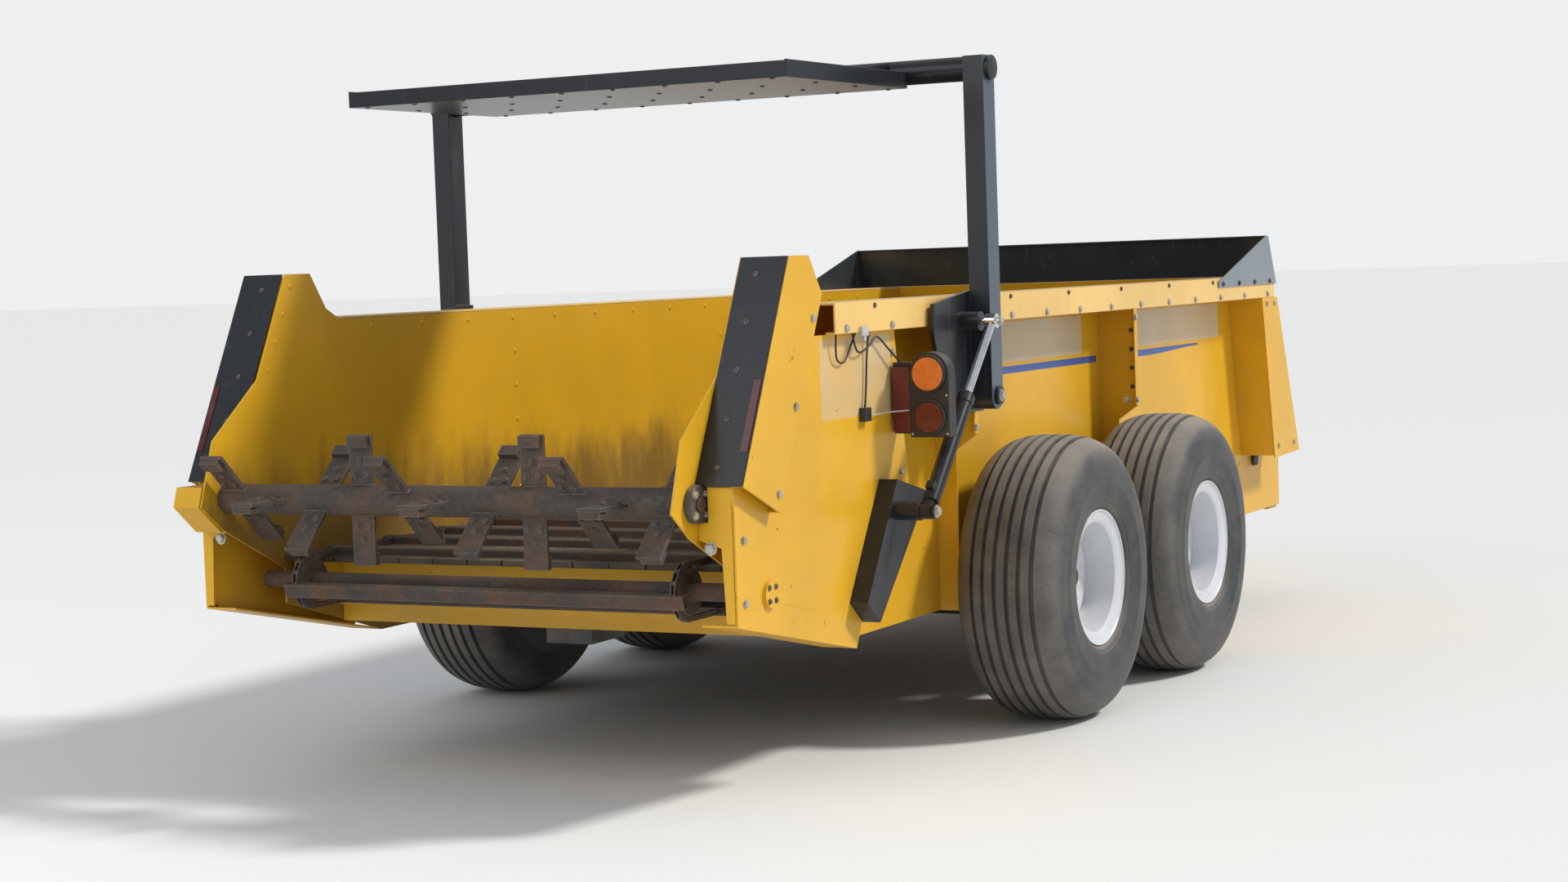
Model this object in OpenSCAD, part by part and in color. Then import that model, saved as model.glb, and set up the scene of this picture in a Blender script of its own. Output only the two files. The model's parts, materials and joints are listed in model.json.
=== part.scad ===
// Tandem-axle box spreader with a slatted apron, a beater and a lifting endgate.
// X points to the hitch, Y to the left side, Z up from the ground, in millimetres.
// Sizes below are measured from the middle of the tandem; the finished model is
// shifted along X so that its origin lies under the middle of its length.

/* [Wheels] */
// Outside diameter of a tyre
tyre_d = 1080; // [1000:10:1100]
// Width of a tyre
tyre_w = 420; // [360:10:440]
// Distance between the front and rear wheel centres of a side
wheel_base = 1240; // [1180:10:1400]
// Gap between a tyre's side and the box's side sheet
wheel_gap = 100; // [80:2:140]
// Diameter over the rim's lips
rim_d = 515; // [480:5:540]
// Width between the rim's outer faces
rim_w = 368; // [330:2:380]

/* [Box] */
// Inside width of the load box
box_w = 1844; // [1700:4:1900]
// Thickness of the side, front and skirt sheets
sheet_t = 8; // [5:1:10]
// Height of the floor's top above the ground
floor_z = 790; // [785:5:830]
// Height of the side rails' top above the ground
side_top = 1625; // [1600:5:1750]
// How far the top rails stand out from the side sheets
rail_depth = 170; // [160:5:190]
// Height of a top rail
rail_h = 105; // [80:5:120]
// Place of the front wall at rail height
front_top_x = 2620; // [2500:10:2900]
// Slope of the front wall from the vertical, in degrees
front_slope = 22; // [15:1:25]
// How far in front of the posts' foot the top rails end
rail_rear_in = 670; // [650:5:720]
// Lower edge of the side skirts above the ground
skirt_z = 450; // [440:5:470]
// Place of the middle stakes
stake_x = 700; // [695:5:760]
// Place of the stakes behind the rear wheels
rear_stake_x = -1000; // [-1010:5:-960]
// Height of the front extension above the rails
extension_h = 195; // [120:5:240]

/* [Rear end] */
// Slope of the rear posts from the vertical, in degrees
post_slope = 26.6; // [25:0.2:28]
// Place of the rear edge of the posts at their foot
post_rear_x = -2800; // [-2820:5:-2780]
// Width of a rear post along the machine
post_w = 290; // [260:5:310]
// How far the outer rear plates lie inside the posts' faces
plate_inset = 40; // [25:5:60]
// Top of the rear posts above the ground
post_top = 1785; // [1760:5:1800]

/* [Endgate] */
// Place of the lift arms' pivot along the machine
pivot_x = -1050; // [-1060:5:-1040]
// Height of the lift arms' pivot above the ground
pivot_z = 1255; // [1245:5:1265]
// Length of a lift arm from its pivot to the cross tube
arm_len = 1190; // [1170:5:1200]
// Fore-and-aft width of a lift arm
arm_w = 100; // [80:5:110]
// Width of a lift arm across the machine
arm_t = 80; // [60:5:84]
// Wall thickness of the arms
arm_wall = 6; // [5:1:8]
// How far the arms swing down to close the gate, in degrees
gate_swing = 64; // [60:1:65]
// Length of the gate panel from the cross tube's centre to its free edge
gate_len = 1000; // [940:10:1005]
// Depth of the gate panel's edge frame
gate_t = 60; // [50:2:64]
// Gap between the gate panel and a side sheet
gate_gap = 16; // [12:1:30]
// Place of a lift cylinder's base pin along the machine
base_x = -1770; // [-1780:5:-1750]
// Height of a lift cylinder's base pin above the ground
base_z = 900; // [890:5:915]
// Outside diameter of a lift cylinder's barrel
barrel_d = 58; // [52:2:64]
// Diameter of a lift cylinder's rod
rod_d = 32; // [25:1:36]

/* [Beater] */
// Tip radius of the beater
beater_r = 220; // [190:5:225]
// Number of paddle stations on the beater
paddle_stations = 11; // [5:2:13]
// Width of a paddle along the beater
paddle_w = 90; // [60:5:110]
// Thickness of a paddle
paddle_t = 12; // [8:1:16]
// Radius of the beater's tube
beater_tube_r = 52; // [40:2:60]
// Radius of the journals that the beater turns on
journal_r = 25; // [20:1:28]

/* [Apron] */
// Distance from a shaft's centre to the middle of the apron chains
chain_r = 90; // [84:1:92]
// Depth of a slat
slat_t = 30; // [24:1:32]
// Width of a slat along the apron
slat_w = 50; // [30:2:60]
// Pitch of the slats
slat_pitch = 330; // [250:10:500]
// Distance between the two apron chains
chain_gauge = 1520; // [1300:10:1540]
// How far the rear apron shaft lies in front of the posts' foot
apron_rear_in = 220; // [210:5:240]
// Place of the front apron shaft
apron_front_x = 2770; // [2600:10:2775]

/* [Drawbar and jack] */
// Place of the hitch pin
hitch_x = 4760; // [4600:10:5200]
// Height of the middle of the hitch above the ground
hitch_z = 500; // [480:5:520]
// Diameter of the hitch pin's hole
hitch_bore_d = 33; // [26:1:40]
// Height of the drawbar's beams
beam_h = 130; // [100:5:150]
// Width of the drawbar's beams
beam_w = 90; // [80:5:120]
// Place of the parking jack along the machine
jack_x = 4300; // [4290:10:4380]
// How far the jack's leg draws up
jack_travel = 350; // [200:10:360]

/* [Hidden] */

// Roundness of turned pieces
$fn = 64;
// Seat gap between pieces that rest on each other
seat = 0.3;
// Clearance of a shaft in its bearing
run_fit = 0.1;
// Clearance of a sliding leg in its tube
slide_fit = 0.4;
// Least clearance between pieces that move past each other
move_gap = 6;

// Planes across the machine, for the left side
y_in = box_w / 2;
y_sheet = y_in + sheet_t;
y_rail = y_sheet + rail_depth;
y_wheel = y_sheet + wheel_gap + tyre_w / 2;
rail_z = side_top - rail_h;
rail_t = 8;

// Wheels and tandem
wheel_z = tyre_d / 2;
spindle_r = 35;
hub_r = 78;
axle_h = 120;
axle_top = skirt_z - 30;
axle_z = axle_top - axle_h / 2;
axle_pin_r = 40;
beam_in = y_sheet + 16;
beam_out = y_sheet + wheel_gap - 16;

// Front of the box
function front_x(z) = front_top_x + (side_top - z) * tan(front_slope);
skirt_front_x = front_x(floor_z) + 230;

// Rear end: front and rear edges of the posts at a height
post_foot_z = 1075;
function post_rear(z) = post_rear_x + (z - post_foot_z) * tan(post_slope);
function post_front(z) = post_rear(z) + post_w;
post_shoulder_z = post_top - 128;
post_cap = 140;
y_plate = y_rail - plate_inset;
plate_wall = 8;
keel_x = -1970;
keel_rear_x = post_rear_x + 10;
rail_rear_x = post_rear_x + rail_rear_in;
plate_front_x = -1600;
tail_z = 630;
waist_x = -1512;
waist_z = 947;
// Rear edge of the side sheets below the black strips
neck_z = 1417;
throat_z = 1223;
nose_z = 1001;
chin_z = 915;
jaw_z = 744;
heel_z = 620;
throat_out = 78;
nose_out = 154;
chin_out = 49;
jaw_in = 281;
// Cover over the beater's drive
shield_top_z = 1068;
shield_low_z = 905;
shield_t = 5;
// Rear edge of the cylinder brackets
bracket_top_x = -1756;
bracket_top_z = 1008;
bracket_mid_x = -1833;
bracket_mid_z = 890;
bracket_low_x = -2015;
bracket_low_z = 611;

// Endgate
tube_r = 45;
arm_in = y_rail + 30;
arm_out = arm_in + arm_t;
arm_mid = arm_in + arm_t / 2;
gate_half = y_in - gate_gap;
pivot_pin_r = 22;
crank_in = arm_in - 16;
bracket_t = 7;

// Lift cylinders
crank_x = -120;
crank_z = 275;
cylinder_y = arm_out + 37;
cylinder_pin_r = 14;
eye_w = 40;
eye_r = 27;
rod_pin_x = pivot_x + crank_x;
rod_pin_z = pivot_z + crank_z;
lift_len = norm([rod_pin_x - base_x, rod_pin_z - base_z]);
lift_angle = atan2(rod_pin_z - base_z, rod_pin_x - base_x);
barrel_end = 520;
gland_t = 20;
bore_start = 110;
bore_wall = 7;
piston_at = 440;

// Beater
beater_x = post_rear_x - 20;
beater_z = 1020;
bearing_r = 62;
bearing_t = 26;
beater_half = y_in - move_gap;
paddle_half = y_in - 24;

// Apron and floor
floor_t = 20;
chain_h = 24;
apron_rear_x = post_rear_x + apron_rear_in;
shaft_z = floor_z + seat + chain_h / 2 - chain_r;
chain_w = 20;
slat_half = y_in - 122;
sprocket_r = chain_r - chain_h / 2 - 0.5;
apron_shaft_r = 30;
run_len = apron_front_x - apron_rear_x;
loop_len = 2 * run_len + 2 * PI * chain_r;
slat_count = round(loop_len / slat_pitch);
deck_rear_x = apron_rear_x + 60;
deck_front_x = apron_front_x - 80;

// Frame under the floor
sill_w = 70;
sill_h = 130;
sill_out = y_in - 7;
sill_in = sill_out - sill_w;
sill_top = floor_z - floor_t;
sill_z = sill_top - sill_h;
member_h = 70;
member_w = 60;
member_xs = [apron_rear_x + 280, -1500, -700, 150, 950, 1750, 2500];
return_z = shaft_z - chain_r;
rear_beam_x = -2200;
rear_beam_w = 80;
rear_beam_z = 515;

// Drawbar, hitch and parking jack
head_x = skirt_front_x - 130;
head_w = 130;
beam_z = hitch_z - beam_h / 2;
head_z = beam_z;
head_h = sill_z - head_z - seat;
beam_spread = 1300;
tongue_x = 4150;
tongue_w = 150;
ear_t = 22;
ear_gap = 60;
ear_r = 58;
jack_w = 62;
jack_wall = 5;
jack_y = tongue_w / 2 + 60;
jack_tube_z = 420;
jack_tube_h = 560;
leg_w = jack_w - 2 * jack_wall - 2 * slide_fit;
foot_t = 12;
foot_w = 180;

// Drive line
pto_z = 700;
pto_x = 4560;
pto_len = 1230;
guard_r = 48;
shaft_r = 24;
yoke_bore_r = 17.5;
line_z = 528;
line_r = 38;
gearbox_w = 230;

// Lamps
lamp_x = -1660;
lamp_z = 1145;
lamp_in = y_rail - 30;
lamp_w = 150;
lamp_h = 295;
lamp_t = 60;
marker_w = 68;

// Shift that puts the origin under the middle of the length
rear_end = beater_x - beater_r;
front_end = hitch_x + ear_r;
x_mid = (rear_end + front_end) / 2;

// Finish colours
paint = "#E0AC22";
black_paint = "#1E2126";
white_paint = "#D8DAE0";
rubber = "#2B2B2D";
bare_steel = "#8C8F92";
dark_steel = "#4A4640";

// Helpers

// Moves a piece from the tandem's frame into the model's frame
module placed() {
    translate([-x_mid, 0, 0]) children();
}

// Repeats a left-hand piece on the side that is asked for
module on_side(side) {
    if (side > 0) {
        children();
    } else {
        mirror([0, 1, 0]) children();
    }
}

// Plate with its outline in X and Z, between two planes across the machine
module plate_xz(outline, y0, y1) {
    translate([0, y1, 0]) rotate([90, 0, 0]) linear_extrude(y1 - y0) polygon(outline);
}

// Plate with its outline in Y and Z, between two planes along the machine
module plate_yz(outline, x0, x1) {
    translate([x0, 0, 0]) rotate([90, 0, 90]) linear_extrude(x1 - x0) polygon(outline);
}

// Block between two corners
module block(low, high) {
    translate(low) cube(high - low);
}

// Round bar across the machine
module bar_y(x, z, r, y0, y1) {
    translate([x, y0, z]) rotate([-90, 0, 0]) cylinder(r = r, h = y1 - y0);
}

// Round bar along the machine
module bar_x(y, z, r, x0, x1) {
    translate([x0, y, z]) rotate([0, 90, 0]) cylinder(r = r, h = x1 - x0);
}

// Wheels

// Half of a tyre's outline, bead to crown: radius and distance from the centre plane
function tyre_side() = [
    [rim_d / 2 - 42 + seat, rim_w / 2 - 19],
    [rim_d / 2 + seat, rim_w / 2 - 10],
    [rim_d / 2 + 6, rim_w / 2 + 4],
    [rim_d / 2 + 70, tyre_w / 2 - 6],
    [rim_d / 2 + 140, tyre_w / 2],
    [tyre_d / 2 - 92, tyre_w / 2 - 9],
    [tyre_d / 2 - 40, tyre_w / 2 - 34],
    [tyre_d / 2 - 12, tyre_w / 2 - 68]
];
// Circumferential grooves of the tread: place across the tyre
groove_ys = [-110, -57, 0, 57, 110];
groove_w = 14;
groove_h = 15;

module tyre(front, side) {
    outline = concat(tyre_side(), [[tyre_d / 2, tyre_w / 2 - 120]],
        [[tyre_d / 2, -tyre_w / 2 + 120]],
        [for (i = [len(tyre_side()) - 1 : -1 : 0]) [tyre_side()[i][0], -tyre_side()[i][1]]]);
    placed() on_side(side) translate([front * wheel_base / 2, y_wheel, wheel_z])
        rotate([-90, 0, 0])
            color(rubber) difference() {
                rotate_extrude($fn = 72) polygon(outline);
                for (y = groove_ys)
                    translate([0, 0, y - groove_w / 2]) difference() {
                        cylinder(r = tyre_d / 2 + 5, h = groove_w, $fn = 72);
                        translate([0, 0, -1])
                            cylinder(r = tyre_d / 2 - groove_h, h = groove_w + 2, $fn = 72);
                    }
            }
}

// Rim outline: the barrel with its two lips, the dished disc and the hub
module rim(front, side) {
    lip = rim_d / 2;
    barrel = lip - 42;
    half = rim_w / 2;
    wall = 9;
    disc = 40;
    placed() on_side(side) translate([front * wheel_base / 2, y_wheel, wheel_z])
        rotate([-90, 0, 0])
            color(white_paint) rotate_extrude($fn = 72) polygon([
                [spindle_r + run_fit, -beam_bearing()],
                [hub_r, -beam_bearing()],
                [hub_r, disc - wall],
                [barrel - 50, disc + 14],
                [barrel - wall, disc - 20],
                [barrel - wall, -half + wall],
                [lip - 4, -half],
                [lip, -half + 4],
                [lip, -half + wall],
                [barrel, -half + 2 * wall],
                [barrel, half - 2 * wall],
                [lip, half - wall],
                [lip, half - 4],
                [lip - 4, half],
                [barrel - wall, half - wall],
                [barrel - wall, disc + 10],
                [barrel - 46, disc + 14 + wall + 6],
                [hub_r + 8, disc + 4],
                [hub_r - 4, disc + 34],
                [spindle_r + run_fit, disc + 34]
            ]);
}
// Length of the hub inward from the wheel's centre plane
function beam_bearing() = y_wheel - beam_out - 14;

// Running gear

module axle() {
    placed() color(black_paint) {
        block([-axle_h / 2, -y_sheet - 5, axle_z - axle_h / 2], [axle_h / 2, y_sheet + 5, axle_top]);
        for (side = [-1, 1])
            on_side(side) {
                block([-110, sill_in + 2, axle_top - 1], [110, sill_out - 2, sill_z]);
                bar_y(0, axle_z, axle_pin_r, y_sheet + 4, beam_out + 8);
            }
    }
}

module tandem_beam(side) {
    end_x = wheel_base / 2 + 62;
    placed() on_side(side) color(black_paint) difference() {
        union() {
            plate_xz([
                [-end_x, wheel_z - 46], [-end_x, wheel_z + 46], [-end_x + 130, wheel_z + 56],
                [-150, axle_z + 92], [150, axle_z + 92],
                [end_x - 130, wheel_z + 56], [end_x, wheel_z + 46], [end_x, wheel_z - 46],
                [end_x - 130, wheel_z - 66], [150, axle_z - 82],
                [-150, axle_z - 82], [-end_x + 130, wheel_z - 66]
            ], beam_in, beam_out);
            for (front = [-1, 1])
                bar_y(front * wheel_base / 2, wheel_z, spindle_r, beam_out - 1, y_wheel + 70);
        }
        bar_y(0, axle_z, axle_pin_r + run_fit, beam_in - 1, beam_out + 1);
    }
}

// Load box

// Outline of an inner side sheet, from the rear skirt round to the front
function sheet_outline() = [
    [keel_x, skirt_z], [skirt_front_x, skirt_z], [skirt_front_x, floor_z + 10],
    [front_x(floor_z + 10) + 24, floor_z + 10], [front_x(side_top - rail_t) + 24, side_top - rail_t - seat],
    [rail_rear_x - 10, side_top - rail_t - seat],
    [post_front(post_shoulder_z), post_shoulder_z], [post_rear(post_top) + post_cap, post_top],
    [post_rear(post_top), post_top], [post_rear(neck_z), neck_z],
    [post_rear_x - throat_out, throat_z], [post_rear_x - nose_out, nose_z], [post_rear_x - chin_out, chin_z],
    [post_rear_x + jaw_in, jaw_z], [post_rear_x + jaw_in, heel_z]
];

module side_sheet(side) {
    placed() on_side(side) color(paint) difference() {
        plate_xz(sheet_outline(), y_in, y_sheet);
        bar_y(beater_x, beater_z, journal_r + 6, y_in - 1, y_sheet + 1);
        bar_y(apron_rear_x, shaft_z, apron_shaft_r + run_fit, y_in - 1, y_sheet + 1);
        bar_y(apron_front_x, shaft_z, apron_shaft_r + run_fit, y_in - 1, y_sheet + 1);
    }
}

module top_rail(side) {
    placed() on_side(side) color(paint)
        plate_yz([
            [y_in, side_top], [y_rail, side_top], [y_rail, rail_z], [y_rail - 40, rail_z],
            [y_rail - 40, rail_z + rail_t], [y_rail - rail_t, rail_z + rail_t],
            [y_rail - rail_t, side_top - rail_t], [y_in, side_top - rail_t]
        ], rail_rear_x, front_x(side_top) + 24);
}

// Stake: a web that narrows beside the wheel, and a flange above it
module stake_piece(x, foot_z, top) {
    web_t = 6;
    plate_yz([
        [y_sheet + seat, top], [y_rail, top], [y_rail, tyre_d + 30], [beam_out, tyre_d - 30],
        [beam_out, foot_z], [y_sheet + seat, foot_z]
    ], x, x + web_t);
    plate_xz([
        [x - 18, tyre_d + 32], [x + 18, tyre_d + 32], [x + 18, top], [x - 18, top]
    ], y_rail - web_t, y_rail);
}

module stakes(side) {
    web_t = 6;
    foot_z = 745;
    head_back = 2450;
    foot_back = 2600;
    top = rail_z - seat;
    placed() on_side(side) color(paint) {
        stake_piece(stake_x, sill_z, top);
        stake_piece(rear_stake_x, skirt_z, top);
        // Front stake: a channel that widens downwards, its front along the wall's slope
        plate_xz([
            [head_back, top], [front_x(top) + 24, top], [front_x(foot_z) + 24, foot_z], [foot_back, foot_z - 12]
        ], y_rail - web_t, y_rail);
        plate_xz([
            [head_back, top], [head_back + web_t, top], [foot_back + web_t, foot_z], [foot_back, foot_z]
        ], y_sheet + seat, y_rail - web_t + 1);
        plate_xz([
            [front_x(top) + 24 - web_t, top], [front_x(top) + 24, top],
            [front_x(floor_z + 12) + 24, floor_z + 12], [front_x(floor_z + 12) + 24 - web_t, floor_z + 12]
        ], y_sheet + seat, y_rail - web_t + 1);
    }
}

module front_wall() {
    rib_d = 52;
    rib_h = 70;
    rib_mid_z = 1290;
    rib_low_z = 960;
    foot = sill_top + 4;
    placed() color(paint) {
        plate_xz([
            [front_x(side_top), side_top], [front_x(side_top) + sheet_t, side_top],
            [front_x(foot) + sheet_t, foot], [front_x(foot), foot]
        ], -y_in + seat, y_in - seat);
        for (z = [side_top - 20, rib_mid_z, rib_low_z])
            plate_xz([
                [front_x(z) + sheet_t - 1, z], [front_x(z) + sheet_t + rib_d, z],
                [front_x(z - rib_h) + sheet_t + rib_d, z - rib_h], [front_x(z - rib_h) + sheet_t - 1, z - rib_h]
            ], -y_in + seat, y_in - seat);
    }
}

module front_extension() {
    wall = 6;
    wing_rear_x = 1790;
    z0 = side_top + seat;
    z1 = side_top + extension_h;
    placed() color(black_paint) {
        plate_xz([
            [front_x(z0), z0], [front_x(z0) + wall, z0], [front_x(z1) + wall, z1],
            [front_x(z1) - 22, z1], [front_x(z1) - 22, z1 - wall], [front_x(z1 - wall) - 2, z1 - wall]
        ], -y_rail - seat - wall, y_rail + seat + wall);
        for (side = [-1, 1])
            on_side(side) plate_xz([
                [wing_rear_x, side_top - 40], [wing_rear_x, side_top - 13],
                [front_x(z1) - 22, z1], [front_x(z1) + wall, z1], [front_x(z0 - 42) + 24, side_top - 40]
            ], y_rail + seat, y_rail + seat + wall);
    }
}

module floor_deck() {
    placed() color(dark_steel)
        block([deck_rear_x, -y_in + seat, sill_top + seat], [deck_front_x, y_in - seat, floor_z]);
}

// Frame

module frame_sills() {
    placed() color(paint) for (side = [-1, 1])
        on_side(side) difference() {
            block([apron_rear_x + 100, sill_in, sill_z], [skirt_front_x - 10, sill_out, sill_top]);
            bar_y(apron_front_x, shaft_z, apron_shaft_r + run_fit, sill_in - 1, sill_out + 1);
        }
}

module cross_members() {
    placed() color(paint) for (x = member_xs)
        block([x, -sill_in + seat, sill_top - member_h], [x + member_w, sill_in - seat, sill_top]);
}

module return_guides() {
    guide_in = chain_gauge / 2 - 25;
    guide_z = return_z - slat_t / 2 - seat;
    hanger_z = guide_z - 18;
    hanger_in = sill_in + 12;
    placed() color(paint) for (side = [-1, 1])
        on_side(side) {
            block([member_xs[0], guide_in, guide_z - 6], [member_xs[6], guide_in + 50, guide_z]);
            for (x = member_xs)
                plate_yz([
                    [hanger_in, sill_z - seat], [hanger_in, guide_z - 5], [guide_in, guide_z - 5],
                    [guide_in, hanger_z], [hanger_in + 6, hanger_z], [hanger_in + 6, sill_z - seat]
                ], x + 10, x + 18);
        }
}

module rear_beam() {
    placed() color(paint)
        block([rear_beam_x, -y_in + seat, rear_beam_z],
            [rear_beam_x + rear_beam_w, y_in - seat, rear_beam_z + rear_beam_w]);
}

// Rear end

module side_plate(side) {
    wall = 6;
    placed() on_side(side) color(paint) {
        plate_xz([
            [plate_front_x, rail_z - seat], [waist_x, waist_z], [keel_x + 46, skirt_z + 84], [keel_x, skirt_z],
            [keel_rear_x, tail_z], [keel_rear_x, post_foot_z - 75], [post_rear_x, post_foot_z],
            [post_rear(post_top), post_top], [post_rear(post_top) + post_cap, post_top],
            [post_front(post_shoulder_z), post_shoulder_z], [post_front(rail_z), rail_z - seat]
        ], y_plate - plate_wall, y_plate);
        // Keel that closes the bottom between the two walls
        plate_xz([
            [keel_x, skirt_z], [keel_rear_x, tail_z], [keel_rear_x, tail_z + wall], [keel_x, skirt_z + wall]
        ], y_sheet + seat, y_plate - plate_wall + 1);
        // Web up the plate's front edge
        plate_xz([
            [waist_x, waist_z], [waist_x - 6, waist_z + 40], [waist_x - 12, waist_z + 40],
            [waist_x - 9, waist_z + 3], [keel_x + 41, skirt_z + 90], [keel_x + 46, skirt_z + 84]
        ], y_sheet + seat, y_plate - plate_wall + 1);
        // Round cover over the end of the rear apron shaft
        bar_y(apron_rear_x, shaft_z, 45, y_plate - 1, y_plate + 12);
    }
}

module rear_post(side) {
    wall = 8;
    low = 970;
    placed() on_side(side) color(paint) difference() {
        plate_xz([
            [post_front(low), low], [post_rear_x, post_foot_z], [post_rear(post_top), post_top],
            [post_rear(post_top) + post_cap, post_top], [post_front(post_shoulder_z), post_shoulder_z]
        ], y_plate + seat, y_rail);
        plate_xz([
            [post_front(low - 40) - wall, low - 40], [post_rear(low - 40) + wall, low - 40],
            [post_rear(post_top - wall) + wall, post_top - wall],
            [post_rear(post_top - wall) + post_cap - 8, post_top - wall],
            [post_front(post_shoulder_z) - wall, post_shoulder_z - 4]
        ], y_plate - 1, y_rail - wall);
    }
}

module rear_strips() {
    placed() color(black_paint) for (side = [-1, 1])
        on_side(side) difference() {
            plate_xz([
                [post_rear(post_foot_z) - 2, post_foot_z], [post_rear(post_foot_z) - 10, post_foot_z],
                [post_rear(post_top) - 10, post_top], [post_rear(post_top) - 2, post_top]
            ], y_sheet + seat, y_rail);
            bar_y(beater_x, beater_z, bearing_r + 3, y_sheet, y_sheet + bearing_t + 12);
        }
}

// Yellow corner plates that close the rear below the black strips
module rear_gussets() {
    y_edge = y_plate - plate_wall - seat;
    placed() color(paint) for (side = [-1, 1])
        on_side(side) difference() {
            plate_yz([
                [y_sheet + seat, post_foot_z - 2], [y_edge, post_foot_z - 2], [y_edge, tail_z + 12],
                [y_edge - 30, tail_z + 12], [y_edge - 40, 880], [y_sheet + seat, 905]
            ], keel_rear_x - 6, keel_rear_x - seat);
            bar_y(beater_x, beater_z, bearing_r + 3, y_sheet, y_sheet + bearing_t + 12);
        }
}

module arm_bracket(side) {
    y0 = y_rail + seat;
    y1 = y0 + bracket_t;
    placed() on_side(side) color(black_paint) {
        plate_xz([
            [pivot_x - 60, pivot_z + 50], [pivot_x - 60, pivot_z - 45], [pivot_x + 66, pivot_z - 45],
            [pivot_x + 76, pivot_z + 60], [pivot_x + 76, side_top - 25], [pivot_x - 40, side_top - 25]
        ], y0, y1);
        bar_y(pivot_x, pivot_z, pivot_pin_r, y1 - 1, arm_out + 14);
        bar_y(pivot_x, pivot_z, 34, arm_out + 2, arm_out + 14);
    }
}

module cylinder_bracket(side) {
    proud = 70;
    boss = cylinder_y - eye_w / 2;
    placed() on_side(side) color(black_paint) {
        difference() {
            plate_xz([
                [bracket_top_x, bracket_top_z], [bracket_mid_x, bracket_mid_z], [bracket_low_x, bracket_low_z],
                [keel_x + 46, skirt_z + 84], [waist_x, waist_z]
            ], y_plate + seat, y_plate + proud);
            plate_xz([
                [bracket_top_x, bracket_top_z - 12], [bracket_mid_x + 6, bracket_mid_z - 4],
                [bracket_low_x + 12, bracket_low_z + 2], [keel_x + 46, skirt_z + 96], [waist_x - 12, waist_z]
            ], y_plate, y_plate + proud - 8);
        }
        bar_y(base_x, base_z, 32, y_plate + proud - 9, boss - 2);
        bar_y(base_x, base_z, cylinder_pin_r, boss - 3, boss + eye_w + 14);
        bar_y(base_x, base_z, 24, boss + eye_w + 2, boss + eye_w + 14);
    }
}

// Endgate

module lift_arm(side) {
    half = arm_w / 2;
    placed() on_side(side) translate([pivot_x, 0, pivot_z]) color(black_paint) {
        difference() {
            union() {
                block([-half, arm_in, 0], [half, arm_out, arm_len - tube_r + 12]);
                bar_y(0, 0, half, arm_in, arm_out);
                plate_xz([
                    [50, -58], [-50, -58], [-280, -40], [-370, 245], [-360, 345], [-50, 385], [50, 385]
                ], crank_in, arm_in + 1);
                bar_y(crank_x, crank_z, 36, crank_in + 1, arm_out - 5);
            }
            block([-half + arm_wall, arm_in + arm_wall, 70], [half - arm_wall, arm_out - arm_wall, arm_len - 90]);
            bar_y(0, 0, pivot_pin_r + run_fit, crank_in - 1, arm_out + 1);
            bar_y(0, arm_len, tube_r + seat, arm_in - 1, arm_out + 1);
        }
    }
}

module cross_tube() {
    placed() translate([pivot_x, 0, pivot_z]) color(black_paint) difference() {
        bar_y(0, arm_len, tube_r, -arm_out - 15, arm_out + 15);
        bar_y(0, arm_len, tube_r - arm_wall, -arm_out - 10, arm_out + 10);
    }
}

module gate_panel() {
    skin = 5;
    near = tube_r + seat;
    rib_w = 50;
    inner = [-near, -gate_half + skin, -gate_t + skin];
    placed() translate([pivot_x, 0, pivot_z + arm_len]) color(black_paint) {
        // Skin on the load side, edge frame and ribs behind it
        block([-gate_len, -gate_half, -gate_t], [-near, gate_half, -gate_t + skin]);
        for (side = [-1, 1])
            on_side(side) block([-gate_len, gate_half - skin, -gate_t], [-near, gate_half, 0]);
        for (x = [-gate_len, -gate_len * 0.68, -gate_len * 0.37, -near - rib_w])
            block([x, -gate_half, -gate_t], [x + rib_w, gate_half, -4]);
        for (y = [-480, 480])
            block([-gate_len + 10, y - 25, -gate_t], [-near - 10, y + 25, -12]);
    }
}

// Lift cylinders, drawn along +X from the base pin and turned to the rod's pin
module on_cylinder(side) {
    placed() on_side(side) translate([base_x, cylinder_y, base_z]) rotate([0, -lift_angle, 0]) children();
}

module barrel(side) {
    on_cylinder(side) color(black_paint) difference() {
        union() {
            bar_y(0, 0, eye_r, -eye_w / 2, eye_w / 2);
            block([0, -16, -20], [48, 16, 20]);
            bar_x(0, 0, barrel_d / 2, 40, barrel_end);
            bar_x(0, 0, barrel_d / 2 + 3, barrel_end - 42, barrel_end - 8);
            block([70, -15, barrel_d / 2 - 6], [100, 15, barrel_d / 2 + 16]);
        }
        bar_y(0, 0, cylinder_pin_r + run_fit, -eye_w / 2 - 1, eye_w / 2 + 1);
        bar_x(0, 0, barrel_d / 2 - bore_wall, bore_start, barrel_end - gland_t);
        bar_x(0, 0, rod_d / 2 + run_fit, barrel_end - gland_t - 1, barrel_end + 1);
    }
}

module rod(side) {
    on_cylinder(side) color(bare_steel) {
        bar_x(0, 0, rod_d / 2, piston_at, lift_len - eye_r + 6);
        bar_x(0, 0, barrel_d / 2 - bore_wall - run_fit, piston_at, piston_at + 30);
        bar_y(lift_len, 0, eye_r, -eye_w / 2, eye_w / 2);
        bar_y(lift_len, 0, cylinder_pin_r, -eye_w / 2 - 14, eye_w / 2 + 12);
    }
}

// Beater

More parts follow.
